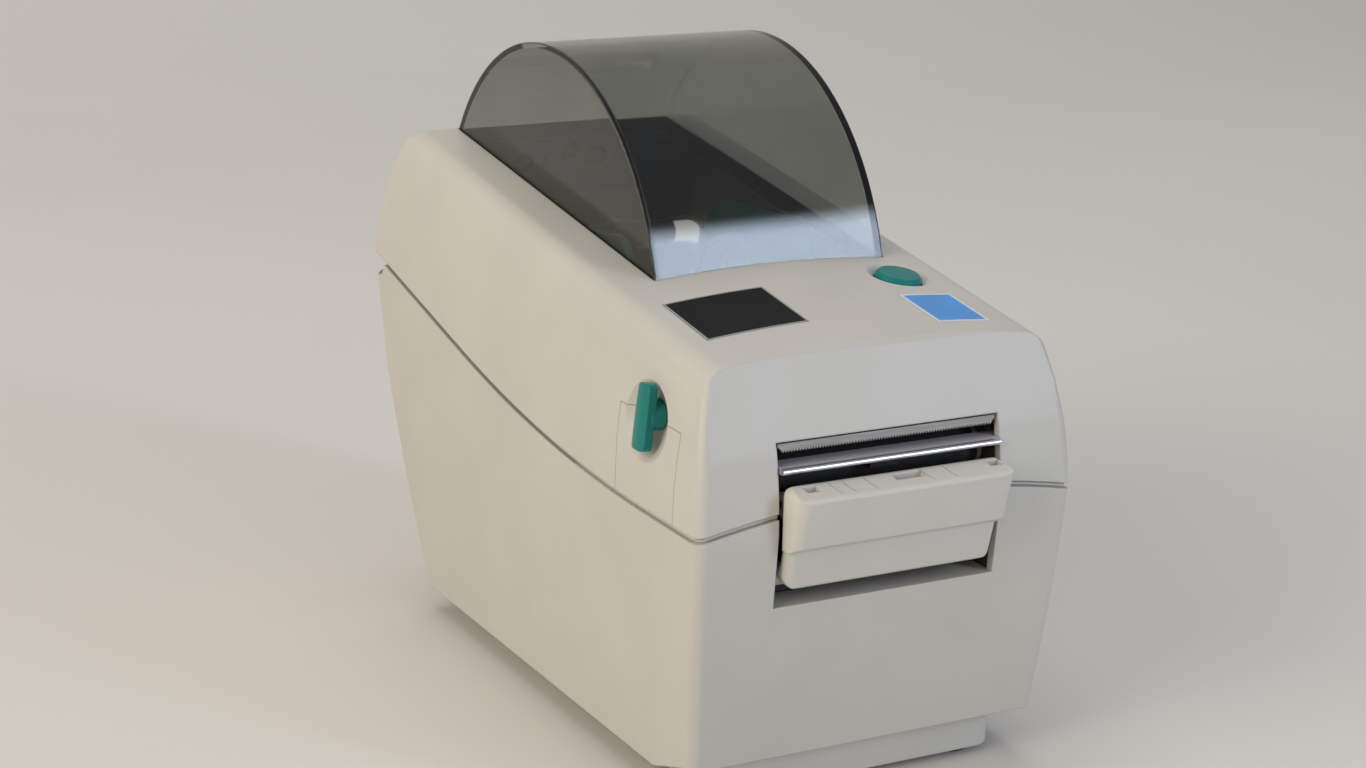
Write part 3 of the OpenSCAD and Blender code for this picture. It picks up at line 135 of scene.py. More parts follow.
def splitPoint(tree, point):
    split = addNode(tree, "ShaderNodeSeparateXYZ")
    feed(tree, point, split.inputs[0])
    return split.outputs


def newGroup(name, inputs, outputs):
    group = bpy.data.node_groups.new(name, "ShaderNodeTree")
    for label, value in inputs:
        kind = "NodeSocketVector" if isinstance(value, tuple) else "NodeSocketFloat"
        socket = group.interface.new_socket(label, in_out="INPUT", socket_type=kind)
        socket.default_value = value
    for label, kind in outputs:
        group.interface.new_socket(label, in_out="OUTPUT", socket_type=kind)
    return group, addNode(group, "NodeGroupInput"), addNode(group, "NodeGroupOutput")


def placeGroup(tree, group, values):
    node = addNode(tree, "ShaderNodeGroup", node_tree=group)
    for label, value in values.items():
        node.inputs[label].default_value = value
    return node


noiseSpan = (0.3, 0.7)  # where nearly all of a noise lies
edgeTurn = (0.995, 0.85)  # how far the rounded normal leaves the flat one, as a cosine
dustLook = {"upward": (0.3, 0.95), "patches": {"scale": 22.0, "detail": 5.0, "roughness": 0.6},
            "patchSpan": (0.35, 0.75), "speckSpan": (0.42, 0.7), "between": 0.35}


def makeMouldedGrain():  # spark-eroded grain with slow changes of tone
    group, gin, gout = newGroup("mouldedGrain", [("Grain", 4200.0), ("Mottle", 38.0)],
                                [("Height", "NodeSocketFloat"), ("Tone", "NodeSocketFloat")])
    point = objectPoint(group)
    feed(group, noise(group, point, gin.outputs["Grain"]), gout.inputs["Height"])
    feed(group, noise(group, point, gin.outputs["Mottle"], 4.0), gout.inputs["Tone"])
    return group


def makeSoftEdge():  # rounds the light over moulded edges and finds where they wear
    group, gin, gout = newGroup("softEdge", [("Radius", 0.0004)],
                                [("Normal", "NodeSocketVector"), ("Edge", "NodeSocketFloat")])
    bevel = addNode(group, "ShaderNodeBevel", samples=6)
    feed(group, gin.outputs["Radius"], bevel.inputs["Radius"])
    geometry = addNode(group, "ShaderNodeNewGeometry")
    dot = addNode(group, "ShaderNodeVectorMath", operation="DOT_PRODUCT")
    feed(group, bevel.outputs["Normal"], dot.inputs[0])
    feed(group, geometry.outputs["Normal"], dot.inputs[1])
    feed(group, bevel.outputs["Normal"], gout.inputs["Normal"])
    feed(group, rampNode(group, dot.outputs["Value"], *edgeTurn), gout.inputs["Edge"])
    return group


def makeSettledDust():  # lies only on what faces up
    group, gin, gout = newGroup("settledDust", [("Amount", 0.2), ("Speck", 900.0)],
                                [("Mask", "NodeSocketFloat")])
    geometry = addNode(group, "ShaderNodeNewGeometry")
    upward = rampNode(group, splitPoint(group, geometry.outputs["Normal"])["Z"], *dustLook["upward"])
    point = objectPoint(group)
    patch = noise(group, point, **dustLook["patches"])
    speck = noise(group, point, gin.outputs["Speck"])
    mixed = mathNode(group, "MULTIPLY", rampNode(group, patch, *dustLook["patchSpan"]),
                     rampNode(group, speck, *dustLook["speckSpan"], dustLook["between"], 1.0))
    lying = mathNode(group, "MULTIPLY", mixed, upward)
    feed(group, mathNode(group, "MULTIPLY", lying, gin.outputs["Amount"]), gout.inputs["Mask"])
    return group


def makeBrushedLines():  # fine lines along X
    group, gin, gout = newGroup("brushedLines", [("Along", 60.0), ("Across", 5200.0)],
                                [("Height", "NodeSocketFloat"), ("Tone", "NodeSocketFloat")])
    split = splitPoint(group, objectPoint(group))
    joined = addNode(group, "ShaderNodeCombineXYZ")
    for axis, rate in (("X", "Along"), ("Y", "Across"), ("Z", "Across")):
        feed(group, mathNode(group, "MULTIPLY", split[axis], gin.outputs[rate]), joined.inputs[axis])
    lines = noise(group, joined.outputs[0], 1.0, 3.0)
    feed(group, lines, gout.inputs["Height"])
    feed(group, rampNode(group, lines, *noiseSpan), gout.inputs["Tone"])
    return group


def makeInsideBox():  # 1 inside a box of the given middle and half sizes
    group, gin, gout = newGroup("insideBox", [("Middle", (0.0, 0.0, 0.0)), ("Half", (0.01, 0.01, 0.01)),
                                              ("Soft", 0.00005)], [("Mask", "NodeSocketFloat")])
    point = objectPoint(group)
    away = addNode(group, "ShaderNodeVectorMath", operation="SUBTRACT")
    feed(group, point, away.inputs[0])
    feed(group, gin.outputs["Middle"], away.inputs[1])
    size = addNode(group, "ShaderNodeVectorMath", operation="ABSOLUTE")
    feed(group, away.outputs[0], size.inputs[0])
    room = addNode(group, "ShaderNodeVectorMath", operation="SUBTRACT")
    feed(group, gin.outputs["Half"], room.inputs[0])
    feed(group, size.outputs[0], room.inputs[1])
    split = splitPoint(group, room.outputs[0])
    least = mathNode(group, "MINIMUM", mathNode(group, "MINIMUM", split["X"], split["Y"]), split["Z"])
    step = mathNode(group, "DIVIDE", least, gin.outputs["Soft"])
    feed(group, mathNode(group, "ADD", step, 0.5, clamp=True), gout.inputs["Mask"])
    return group


mouldedGrain = makeMouldedGrain()
softEdge = makeSoftEdge()
settledDust = makeSettledDust()
brushedLines = makeBrushedLines()
insideBox = makeInsideBox()
print("shared effects made")


def startMaterial(name):
    material = bpy.data.materials.new(name)
    material.use_nodes = True
    tree = material.node_tree
    tree.nodes.clear()
    shader = addNode(tree, "ShaderNodeBsdfPrincipled")
    output = addNode(tree, "ShaderNodeOutputMaterial")
    feed(tree, shader.outputs[0], output.inputs["Surface"])
    return material, tree, shader


def bumpInto(tree, shader, height, normal, strength, distance):
    bump = addNode(tree, "ShaderNodeBump")
    bump.inputs["Strength"].default_value = strength
    bump.inputs["Distance"].default_value = distance
    feed(tree, height, bump.inputs["Height"])
    if normal is not None:
        feed(tree, normal, bump.inputs["Normal"])
    feed(tree, bump.outputs["Normal"], shader.inputs["Normal"])


def shade(colour, factor):
    return tuple(min(c * factor, 1) for c in colour)


def toneColour(tree, mask, look):
    return mixColour(tree, mask, *(shade(look["colour"], look[end]) for end in ("dark", "light")))


def spreadRoughness(tree, shader, tone, span, look):
    low, high = look["rough"] - look["smoother"], look["rough"] + look["rougher"]
    feed(tree, rampNode(tree, tone, *span, low, high), shader.inputs["Roughness"])


def boxMask(tree, low, high, soft=0.00005):
    middle = tuple((a + b) / 2 for a, b in zip(low, high))
    half = tuple((b - a) / 2 for a, b in zip(low, high))
    return placeGroup(tree, insideBox, {"Middle": middle, "Half": half, "Soft": soft}).outputs["Mask"]


def paintZones(tree, colour, zones):  # parts of one node that are moulded in another colour
    for low, high, paint in zones:
        colour = mixColour(tree, boxMask(tree, low, high), colour, paint)
    return colour


def innerShadeMask(tree, inside):  # painted shade on the faces inside a box that look towards its middle
    coords = addNode(tree, "ShaderNodeTexCoord")
    away = addNode(tree, "ShaderNodeVectorMath", operation="SUBTRACT")
    feed(tree, coords.outputs["Object"], away.inputs[0])
    away.inputs[1].default_value = mm(*inside["middle"])
    dot = addNode(tree, "ShaderNodeVectorMath", operation="DOT_PRODUCT")
    feed(tree, coords.outputs["Normal"], dot.inputs[0])
    feed(tree, away.outputs[0], dot.inputs[1])
    facing = rampNode(tree, dot.outputs["Value"], 0.0, -inside["turn"])
    within = boxMask(tree, mm(*inside["low"]), mm(*inside["high"]), inside["soft"])
    return mathNode(tree, "MULTIPLY", facing, within)


plainPlastic = {"grain": 4200.0, "mottle": 38.0, "speck": 900.0, "edge": 0.0004, "dark": 0.975,
                "light": 1.015, "dust": 0.2, "dustColour": (0.55, 0.53, 0.49), "wear": 0.25, "worn": 1.25,
                "rough": 0.45, "smoother": 0.04, "rougher": 0.06, "roughSpan": (0.25, 0.75),
                "specular": 0.5, "ior": 1.48, "bump": 0.25, "bumpDepth": 0.00006, "zones": []}


def plasticMaterial(name, look):
    look = {**plainPlastic, **look}
    material, tree, shader = startMaterial(name)
    colour = look["colour"]
    grain = placeGroup(tree, mouldedGrain, {"Grain": look["grain"], "Mottle": look["mottle"]})
    edge = placeGroup(tree, softEdge, {"Radius": look["edge"]})
    dust = placeGroup(tree, settledDust, {"Amount": look["dust"], "Speck": look["speck"]})
    toned = toneColour(tree, rampNode(tree, grain.outputs["Tone"], *noiseSpan), look)
    toned = paintZones(tree, toned, look["zones"])
    # painted shade: the inner walls of the roll bay are darkened to stand in for the dim light inside
    if "inside" in look:
        innerShade = shade(colour, look["inside"]["shade"])
        toned = mixColour(tree, innerShadeMask(tree, look["inside"]), toned, innerShade)
    worn = mixColour(tree, mathNode(tree, "MULTIPLY", edge.outputs["Edge"], look["wear"]),
                     toned, look.get("wearColour", shade(colour, look["worn"])))
    dusty = mixColour(tree, dust.outputs["Mask"], worn, look["dustColour"])
    feed(tree, dusty, shader.inputs["Base Color"])
    spreadRoughness(tree, shader, grain.outputs["Tone"], look["roughSpan"], look)
    shader.inputs["IOR"].default_value = look["ior"]
    shader.inputs["Specular IOR Level"].default_value = look["specular"]
    bumpInto(tree, shader, grain.outputs["Height"], edge.outputs["Normal"], look["bump"], look["bumpDepth"])
    return material


plainMetal = {"along": 60.0, "across": 5200.0, "edge": 0.0002, "dark": 0.9, "light": 1.06, "wear": 0.3,
              "worn": 1.3, "rough": 0.28, "smoother": 0.05, "rougher": 0.08, "metallic": 1.0, "bump": 0.2,
              "bumpDepth": 0.00002, "zones": []}


def metalMaterial(name, look):
    look = {**plainMetal, **look}
    material, tree, shader = startMaterial(name)
    lines = placeGroup(tree, brushedLines, {"Along": look["along"], "Across": look["across"]})
    edge = placeGroup(tree, softEdge, {"Radius": look["edge"]})
    toned = toneColour(tree, lines.outputs["Tone"], look)
    worn = mixColour(tree, mathNode(tree, "MULTIPLY", edge.outputs["Edge"], look["wear"]),
                     toned, shade(look["colour"], look["worn"]))
    feed(tree, paintZones(tree, worn, look["zones"]), shader.inputs["Base Color"])
    painted = None
    for low, high, _ in look["zones"]:  # the painted parts are plastic
        mask = boxMask(tree, low, high)
        painted = mask if painted is None else mathNode(tree, "MAXIMUM", painted, mask)
    if painted is None:
        shader.inputs["Metallic"].default_value = look["metallic"]
    else:
        feed(tree, mathNode(tree, "SUBTRACT", 1.0, painted), shader.inputs["Metallic"])
    spreadRoughness(tree, shader, lines.outputs["Tone"], (0.0, 1.0), look)
    bumpInto(tree, shader, lines.outputs["Height"], edge.outputs["Normal"], look["bump"], look["bumpDepth"])
    return material


smoothing = {"degrees": 24, "merge": 0.000002, "weight": 80}


def makeSmoothByAngle():
    tree = bpy.data.node_groups.new("smoothByAngle", "GeometryNodeTree")
    tree.interface.new_socket("Geometry", in_out="INPUT", socket_type="NodeSocketGeometry")
    tree.interface.new_socket("Geometry", in_out="OUTPUT", socket_type="NodeSocketGeometry")
    gin, gout = addNode(tree, "NodeGroupInput"), addNode(tree, "NodeGroupOutput")
    merge = addNode(tree, "GeometryNodeMergeByDistance")
    merge.inputs["Distance"].default_value = smoothing["merge"]
    faces = addNode(tree, "GeometryNodeSetShadeSmooth", domain="FACE")
    edges = addNode(tree, "GeometryNodeSetShadeSmooth", domain="EDGE")
    edges.inputs["Shade Smooth"].default_value = False
    angle = addNode(tree, "GeometryNodeInputMeshEdgeAngle")
    sharp = addNode(tree, "FunctionNodeCompare", data_type="FLOAT", operation="GREATER_THAN")
    sharp.inputs["B"].default_value = math.radians(smoothing["degrees"])
    feed(tree, gin.outputs[0], merge.inputs["Geometry"])
    feed(tree, merge.outputs[0], faces.inputs["Geometry"])
    feed(tree, faces.outputs[0], edges.inputs["Geometry"])
    feed(tree, angle.outputs["Unsigned Angle"], sharp.inputs["A"])
    feed(tree, sharp.outputs["Result"], edges.inputs["Selection"])
    feed(tree, edges.outputs[0], gout.inputs[0])
    return tree


smoothTree = makeSmoothByAngle()
dressed = []


def dress(look, material):
    for name in look["nodes"]:
        obj = nodes[name]
        if not obj.material_slots:
            obj.data.materials.append(material)
        for slot in obj.material_slots:
            slot.material = material
        smooth = obj.modifiers.new("smooth", "NODES")
        smooth.node_group = smoothTree
        if name in ("base_housing", "top_cover"):
            weighted = obj.modifiers.new("weighted", "WEIGHTED_NORMAL")
            weighted.keep_sharp = True
            weighted.weight = smoothing["weight"]  # the large faces lead
        dressed.append(name)
    return material


def dressPlastic(name, look):
    return dress(look, plasticMaterial(name, look))


def dressMetal(name, look):
    return dress(look, metalMaterial(name, look))


# painted shade for the roll bay's inner walls, which get little light through the smoked window
rollBayShade = {"middle": (0, 20, 95), "low": (-53.5, -30, 60), "high": (53.5, 120, 150), "shade": 0.26,
           "turn": 0.002, "soft": 0.006}
coverLook = {"nodes": ["top_cover", "latch_panel_left", "latch_panel_right"], "inside": rollBayShade,
             "colour": (0.555, 0.535, 0.49), "rough": 0.42, "dust": 0.1, "edge": 0.0006}
baseLook = {"nodes": ["base_housing", "bottom_pan"], "inside": rollBayShade,
            "colour": (0.545, 0.525, 0.475), "rough": 0.45, "dust": 0.1, "edge": 0.0005}
doorLook = {"nodes": ["dispenser_door"], "colour": (0.60, 0.58, 0.53), "rough": 0.38, "dust": 0.08,
            "edge": 0.0007, "wear": 0.45, "wearColour": (0.74, 0.72, 0.66)}
dressPlastic("coverPlastic", coverLook)
dressPlastic("basePlastic", baseLook)
doorPlastic = dressPlastic("doorPlastic", doorLook)

tealLook = {"nodes": ["release_lever_left", "release_lever_right", "feed_button"],
            "colour": (0.005, 0.19, 0.178), "rough": 0.32, "dust": 0.02, "edge": 0.0005, "wear": 0.35,
            "wearColour": (0.04, 0.34, 0.30), "specular": 0.32}
guideLook = {"nodes": ["media_guide_left", "media_guide_right"],
             "colour": (0.006, 0.165, 0.14), "rough": 0.38, "dust": 0.25, "wear": 0.3,
             "wearColour": (0.05, 0.32, 0.26), "dustColour": (0.3, 0.32, 0.3)}
dressPlastic("tealPlastic", tealLook)
dressPlastic("guidePlastic", guideLook)

inletLow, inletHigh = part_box("power_inlet")
inletMiddle = (inletLow + inletHigh) / 2
inletPin = {"half": 0.0012, "low": 0.005, "high": 0.0075, "back": 0.0008, "colour": (0.6, 0.6, 0.58)}
inletLook = {"nodes": ["power_inlet"], "colour": (0.016, 0.016, 0.018), "rough": 0.4, "dust": 0.15,
             "wear": 0.3, "wearColour": (0.08, 0.08, 0.08),
             "zones": [((inletMiddle.x - inletPin["half"], inletLow.y, inletLow.z + inletPin["low"]),
                        (inletMiddle.x + inletPin["half"], inletHigh.y - inletPin["back"],
                         inletLow.z + inletPin["high"]), inletPin["colour"])]}
blackLook = {"nodes": ["media_sensor", "label_sensor", "power_switch", "power_rocker"],
             "colour": (0.018, 0.018, 0.02), "rough": 0.42, "dust": 0.15, "wear": 0.4,
             "wearColour": (0.09, 0.09, 0.09)}
frameLook = {"nodes": ["print_frame", "media_tray"], "colour": (0.062, 0.06, 0.062), "rough": 0.5,
             "dust": 0.2, "wear": 0.3, "wearColour": (0.14, 0.14, 0.14), "dustColour": (0.24, 0.23, 0.22)}
gearLook = {"nodes": ["platen_gear", "idler_gear", "guide_pinion", "platen_bush_left", "platen_bush_right"],
            "colour": (0.62, 0.60, 0.53), "rough": 0.35, "dust": 0.1, "edge": 0.00015}
dressPlastic("inletPlastic", inletLook)
dressPlastic("blackPlastic", blackLook)
dressPlastic("framePlastic", frameLook)
dressPlastic("gearPlastic", gearLook)

platenLook = {"nodes": ["platen_roller", "pinch_roller"], "colour": (0.022, 0.022, 0.023), "rough": 0.62,
              "dust": 0.2, "grain": 2600.0, "bump": 0.4, "dustColour": (0.2, 0.2, 0.2)}
footLook = {"nodes": ["rubber_feet"], "colour": (0.016, 0.016, 0.016), "rough": 0.75, "dust": 0.3,
            "grain": 1800.0, "bump": 0.5}
dressPlastic("platenRubber", platenLook)
dressPlastic("footRubber", footLook)

headLow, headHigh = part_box("print_head")
heaterLine = {"front": 0.003, "back": 0.0042, "below": 0.001, "above": 0.0003,
              "colour": (0.05, 0.035, 0.03)}
headLook = {"nodes": ["print_head"], "colour": (0.52, 0.49, 0.43), "rough": 0.3, "grain": 6000.0,
            "edge": 0.0002,
            "zones": [((headLow.x, headLow.y + heaterLine["front"], headLow.z - heaterLine["below"]),
                       (headHigh.x, headLow.y + heaterLine["back"], headLow.z + heaterLine["above"]),
                       heaterLine["colour"])]}
dressPlastic("headCeramic", headLook)
print("plastics, rubber and ceramic dressed:", len(dressed))

peelLook = {"colour": (0.62, 0.62, 0.64), "dark": 0.92, "light": 1.08, "front": 0.0011, "soft": 0.0005,
            "plate": (0.48, 0.46, 0.50), "scratch": (0.75, 0.75, 0.77), "stretch": (90, 700, 700),
            "scratches": {"scale": 1.0, "detail": 6.0, "roughness": 0.7}, "scratchSpan": (0.56, 0.72),
            "scratchDepth": 0.5, "rough": (0.28, 0.42), "metallic": (0.9, 0.1), "along": 40.0,
            "across": 4200.0, "bump": 0.25, "bumpDepth": 0.00002}


def peelMaterial(name, look):  # bright rolled front edge, dull scratched plate behind it
    material, tree, shader = startMaterial(name)
    split = splitPoint(tree, objectPoint(tree))
    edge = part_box("peel_bar")[0].y + look["front"]
    behind = rampNode(tree, split["Y"], edge, edge + look["soft"])
    lines = placeGroup(tree, brushedLines, {"Along": look["along"], "Across": look["across"]})
    scratches = noise(tree, stretchedPoint(tree, look["stretch"]), **look["scratches"])
    scratch = rampNode(tree, scratches, *look["scratchSpan"])
    bright = toneColour(tree, lines.outputs["Tone"], look)
    deep = mathNode(tree, "MULTIPLY", scratch, look["scratchDepth"])
    dull = mixColour(tree, deep, look["plate"], look["scratch"])
    feed(tree, mixColour(tree, behind, bright, dull), shader.inputs["Base Color"])
    for key, label in (("metallic", "Metallic"), ("rough", "Roughness")):
        feed(tree, rampNode(tree, behind, 0.0, 1.0, *look[key]), shader.inputs[label])
    bumpInto(tree, shader, lines.outputs["Height"], None, look["bump"], look["bumpDepth"])
    return material


dress({"nodes": ["peel_bar"]}, peelMaterial("peelSteel", peelLook))

tearLook = {"nodes": ["tear_bar"], "colour": (0.25, 0.23, 0.20), "rough": 0.5, "edge": 0.0001,
            "across": 3000.0, "metallic": 0.75}
steelLook = {"nodes": ["head_bracket", "latch_hooks"], "colour": (0.56, 0.57, 0.59), "rough": 0.3}
turnedLook = {"nodes": ["latch_shaft", "platen_shaft", "idler_axle", "door_pins", "pinch_shaft",
                        "hinge_pins", "head_springs", "latch_spring"],
              "colour": (0.58, 0.585, 0.6), "rough": 0.24, "along": 1400.0}
platedLook = {"nodes": ["pan_screws", "frame_screws", "motor_screws", "tear_bar_screws", "head_screws"],
              "colour": (0.62, 0.61, 0.58), "rough": 0.3, "along": 900.0}
motorLook = {"nodes": ["stepper_motor"],
             "colour": (0.55, 0.545, 0.53), "rough": 0.36, "along": 1200.0, "across": 1500.0}
finLook = {"nodes": ["heat_sink"], "colour": (0.64, 0.65, 0.66), "rough": 0.34}
brassLook = {"nodes": ["motor_pinion"], "colour": (0.62, 0.46, 0.2), "rough": 0.3, "along": 900.0}
for name, look in (("tearSteel", tearLook), ("bracketSteel", steelLook), ("turnedSteel", turnedLook),
                   ("platedSteel", platedLook), ("motorCan", motorLook), ("finAluminium", finLook),
                   ("turnedBrass", brassLook)):
    dressMetal(name, look)

serialLow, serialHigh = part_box("serial_socket")
usbLow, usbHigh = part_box("usb_socket")
serialMid = (serialLow + serialHigh) / 2
usbMid = (usbLow + usbHigh) / 2
serialCore = {"half": 0.0073, "front": 0.006, "back": 0.0029, "low": 0.0028, "high": 0.0112,
              "colour": (0.016, 0.018, 0.024)}
usbTongue = {"half": 0.0029, "front": 0.012, "back": 0.0014, "low": 0.00395, "high": 0.00705,
             "colour": (0.55, 0.54, 0.50)}


def coreZone(middle, low, high, core):  # the insulator inside a socket's shell
    return ((middle.x - core["half"], high.y - core["front"], low.z + core["low"]),
            (middle.x + core["half"], high.y - core["back"], low.z + core["high"]), core["colour"])


serialLook = {"nodes": ["serial_socket"], "colour": (0.60, 0.59, 0.56), "rough": 0.3, "along": 900.0,
              "zones": [coreZone(serialMid, serialLow, serialHigh, serialCore)]}
usbLook = {"nodes": ["usb_socket"], "colour": (0.60, 0.59, 0.56), "rough": 0.3, "along": 900.0,
           "zones": [coreZone(usbMid, usbLow, usbHigh, usbTongue)]}
dressMetal("serialShell", serialLook)
dressMetal("usbShell", usbLook)

boardLook = {"colour": (0.010, 0.075, 0.032), "copper": (0.030, 0.135, 0.050), "top": 17.65, "chipTop": 25,
             "chip": (0.014, 0.014, 0.015), "chipOver": 0.1,
             "chips": ((-14, -4, 6, 16), (12, -2, 24, 8), (-26, -12, -18, 4), (-8, -24, 14, -18)),
             "sleeve": (0.03, 0.05, 0.18), "sleeveFrom": (4, 37), "sleeveTo": (30, 45), "sleeveTop": 29,
             "screw": (0.55, 0.55, 0.53), "screws": ((-32, -22), (-32, 48), (32, -22), (32, 48)),
             "screwHalf": 2.5, "screwTop": 19.2,
             "switch": {"half": 0.0034, "front": 0.0028, "back": 0.0046, "below": 0.0035, "above": 0.001},
             "tracks": {"Scale": 240.0, "Mortar Size": 0.09, "Mortar Smooth": 0.05, "Brick Width": 2.3,
                        "Row Height": 0.45},
             "shift": 0.37, "wander": {"scale": 90.0, "detail": 3.0}, "wanderSpan": (0.48, 0.56),
             "rough": (0.3, 0.4), "bump": 0.4, "bumpDepth": 0.00004}


def boardZones(look):  # chips, three capacitors, screws and the switch under the button
    top, over, half = look["top"], look["chipOver"], look["screwHalf"]
    zones = [(mm(x0 - over, y0 - over, top), mm(x1 + over, y1 + over, look["chipTop"]), look["chip"])
             for x0, y0, x1, y1 in look["chips"]]
    zones.append((mm(*look["sleeveFrom"], top), mm(*look["sleeveTo"], look["sleeveTop"]), look["sleeve"]))
    zones += [(mm(x - half, y - half, top), mm(x + half, y + half, look["screwTop"]), look["screw"])
              for x, y in look["screws"]]
    low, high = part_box("button_board")
    middle, body = (low + high) / 2, look["switch"]
    zones.append(((middle.x - body["half"], middle.y - body["front"], high.z - body["below"]),
                  (middle.x + body["half"], middle.y + body["back"], high.z + body["above"]), look["chip"]))
    return zones


def boardMaterial(name, look):
    material, tree, shader = startMaterial(name)
    point = objectPoint(tree)
    tracks = addNode(tree, "ShaderNodeTexBrick", offset=look["shift"])
    feed(tree, point, tracks.inputs["Vector"])
    for label, value in look["tracks"].items():
        tracks.inputs[label].default_value = value
    wander = rampNode(tree, noise(tree, point, **look["wander"]), *look["wanderSpan"])
    trackMask = mathNode(tree, "MULTIPLY", tracks.outputs["Fac"], wander)
    green = mixColour(tree, trackMask, look["colour"], look["copper"])
    feed(tree, paintZones(tree, green, boardZones(look)), shader.inputs["Base Color"])
    feed(tree, rampNode(tree, trackMask, 0.0, 1.0, *look["rough"]), shader.inputs["Roughness"])
    bumpInto(tree, shader, trackMask, None, look["bump"], look["bumpDepth"])
    return material


dress({"nodes": ["main_board", "button_board"]}, boardMaterial("boardGreen", boardLook))
print("metals, sockets and boards dressed:", len(dressed))

windowLook = {"colour": (0.49, 0.505, 0.475), "dark": 0.97, "light": 1.03, "band": (0.004, 0.004, 0.004),
              "bandLow": 0.0365, "bandHigh": 0.0405, "soft": 0.0004, "tilt": 8.0,
              "hinge": (-0.0995, 0.0746), "rough": 0.03, "smoothest": 0.6, "roughest": 1.6, "ior": 1.46,
              "edge": 0.0006, "bump": 0.04, "bumpDepth": 0.00002, "stretch": (1, 9, 4),
              "haze": {"scale": 30.0, "detail": 4.0}, "hazeSpan": (0.35, 0.8),
              "scratch": {"scale": 160.0, "detail": 3.0}}


def smokedGlass(name, look):  # with a dark band where it meets the roof
    material, tree, shader = startMaterial(name)
    point = objectPoint(tree)
    haze = noise(tree, point, **look["haze"])
    scratch = noise(tree, stretchedPoint(tree, look["stretch"]), **look["scratch"])
    split = splitPoint(tree, point)
    turn = math.radians(look["tilt"])
    hingeY, hingeZ = look["hinge"]
    up = mathNode(tree, "MULTIPLY", mathNode(tree, "SUBTRACT", split["Z"], hingeZ), math.cos(turn))
    back = mathNode(tree, "MULTIPLY", mathNode(tree, "SUBTRACT", split["Y"], hingeY), math.sin(turn))
    height = mathNode(tree, "SUBTRACT", up, back)  # square to the roof
    band = mathNode(tree, "MULTIPLY",
                    rampNode(tree, height, look["bandHigh"], look["bandHigh"] - look["soft"]),
                    rampNode(tree, height, look["bandLow"] - look["soft"], look["bandLow"]))
    tinted = toneColour(tree, rampNode(tree, haze, *noiseSpan), look)
    feed(tree, mixColour(tree, band, tinted, look["band"]), shader.inputs["Base Color"])
    low, high = look["rough"] * look["smoothest"], look["rough"] * look["roughest"]
    feed(tree, rampNode(tree, haze, *look["hazeSpan"], low, high), shader.inputs["Roughness"])
    shader.inputs["Transmission Weight"].default_value = 1.0
    shader.inputs["IOR"].default_value = look["ior"]
    edge = placeGroup(tree, softEdge, {"Radius": look["edge"]})
    bumpInto(tree, shader, scratch, edge.outputs["Normal"], look["bump"], look["bumpDepth"])
    return material


dress({"nodes": ["roll_window"]}, smokedGlass("smokedWindow", windowLook))

plainPanel = {"grain": 2400.0, "mottle": 90.0, "speck": 1300.0, "dark": 0.92, "light": 1.06,
              "dustColour": (0.5, 0.49, 0.47), "smoother": 0.03, "rougher": 0.05, "specular": 0.5,
              "soft": 0.00006, "bump": 0.12, "bumpDepth": 0.00003}
namePanelLook = {"box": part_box("name_panel"), "colour": (0.015, 0.0155, 0.017), "rough": 0.5,
                 "edgeColour": (0.30, 0.30, 0.30), "border": 0.0005, "dust": 0.012, "specular": 0.12}
noticePanelLook = {"box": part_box("notice_panel"), "colour": (0.065, 0.30, 0.74), "rough": 0.34,
                   "edgeColour": (0.66, 0.70, 0.75), "border": 0.0008, "dust": 0.05}


def borderedPanel(name, look):  # a flat film with a narrow edge of another colour
    look = {**plainPanel, **look}
    material, tree, shader = startMaterial(name)
    low, high = look["box"]
    split = splitPoint(tree, objectPoint(tree))
    nearest = None
    for i, axis in enumerate("XY"):
        offset = mathNode(tree, "SUBTRACT", split[axis], (low[i] + high[i]) / 2)
        inset = mathNode(tree, "SUBTRACT", (high[i] - low[i]) / 2, mathNode(tree, "ABSOLUTE", offset))
        nearest = inset if nearest is None else mathNode(tree, "MINIMUM", nearest, inset)
    edgeMask = rampNode(tree, nearest, look["border"] + look["soft"], look["border"] - look["soft"])
    grain = placeGroup(tree, mouldedGrain, {"Grain": look["grain"], "Mottle": look["mottle"]})
    toned = toneColour(tree, rampNode(tree, grain.outputs["Tone"], *noiseSpan), look)
    dust = placeGroup(tree, settledDust, {"Amount": look["dust"], "Speck": look["speck"]})
    bordered = mixColour(tree, edgeMask, toned, look["edgeColour"])
    dusty = mixColour(tree, dust.outputs["Mask"], bordered, look["dustColour"])
    feed(tree, dusty, shader.inputs["Base Color"])
    spreadRoughness(tree, shader, grain.outputs["Tone"], noiseSpan, look)
    shader.inputs["Specular IOR Level"].default_value = look["specular"]
    bumpInto(tree, shader, grain.outputs["Height"], None, look["bump"], look["bumpDepth"])
    return material


dress({"nodes": ["name_panel"]}, borderedPanel("namePanel", namePanelLook))
dress({"nodes": ["notice_panel"]}, borderedPanel("noticePanel", noticePanelLook))
print("all CAD nodes dressed:", len(dressed), "of", len(nodes))


def startPattern(name, inputs):
    tree = bpy.data.node_groups.new(name, "GeometryNodeTree")
    tree.interface.new_socket("Geometry", in_out="INPUT", socket_type="NodeSocketGeometry")
    for label, value in inputs:
        kind = "NodeSocketInt" if isinstance(value, int) else "NodeSocketFloat"
        socket = tree.interface.new_socket(label, in_out="INPUT", socket_type=kind)
        socket.default_value = value
    tree.interface.new_socket("Material", in_out="INPUT", socket_type="NodeSocketMaterial")
    tree.interface.new_socket("Geometry", in_out="OUTPUT", socket_type="NodeSocketGeometry")
    return tree, addNode(tree, "NodeGroupInput"), addNode(tree, "NodeGroupOutput")


def joinVector(tree, x, y, z):
    node = addNode(tree, "ShaderNodeCombineXYZ")
    for socket, value in zip(node.inputs, (x, y, z)):
        giveInput(tree, socket, value)
    return node.outputs[0]


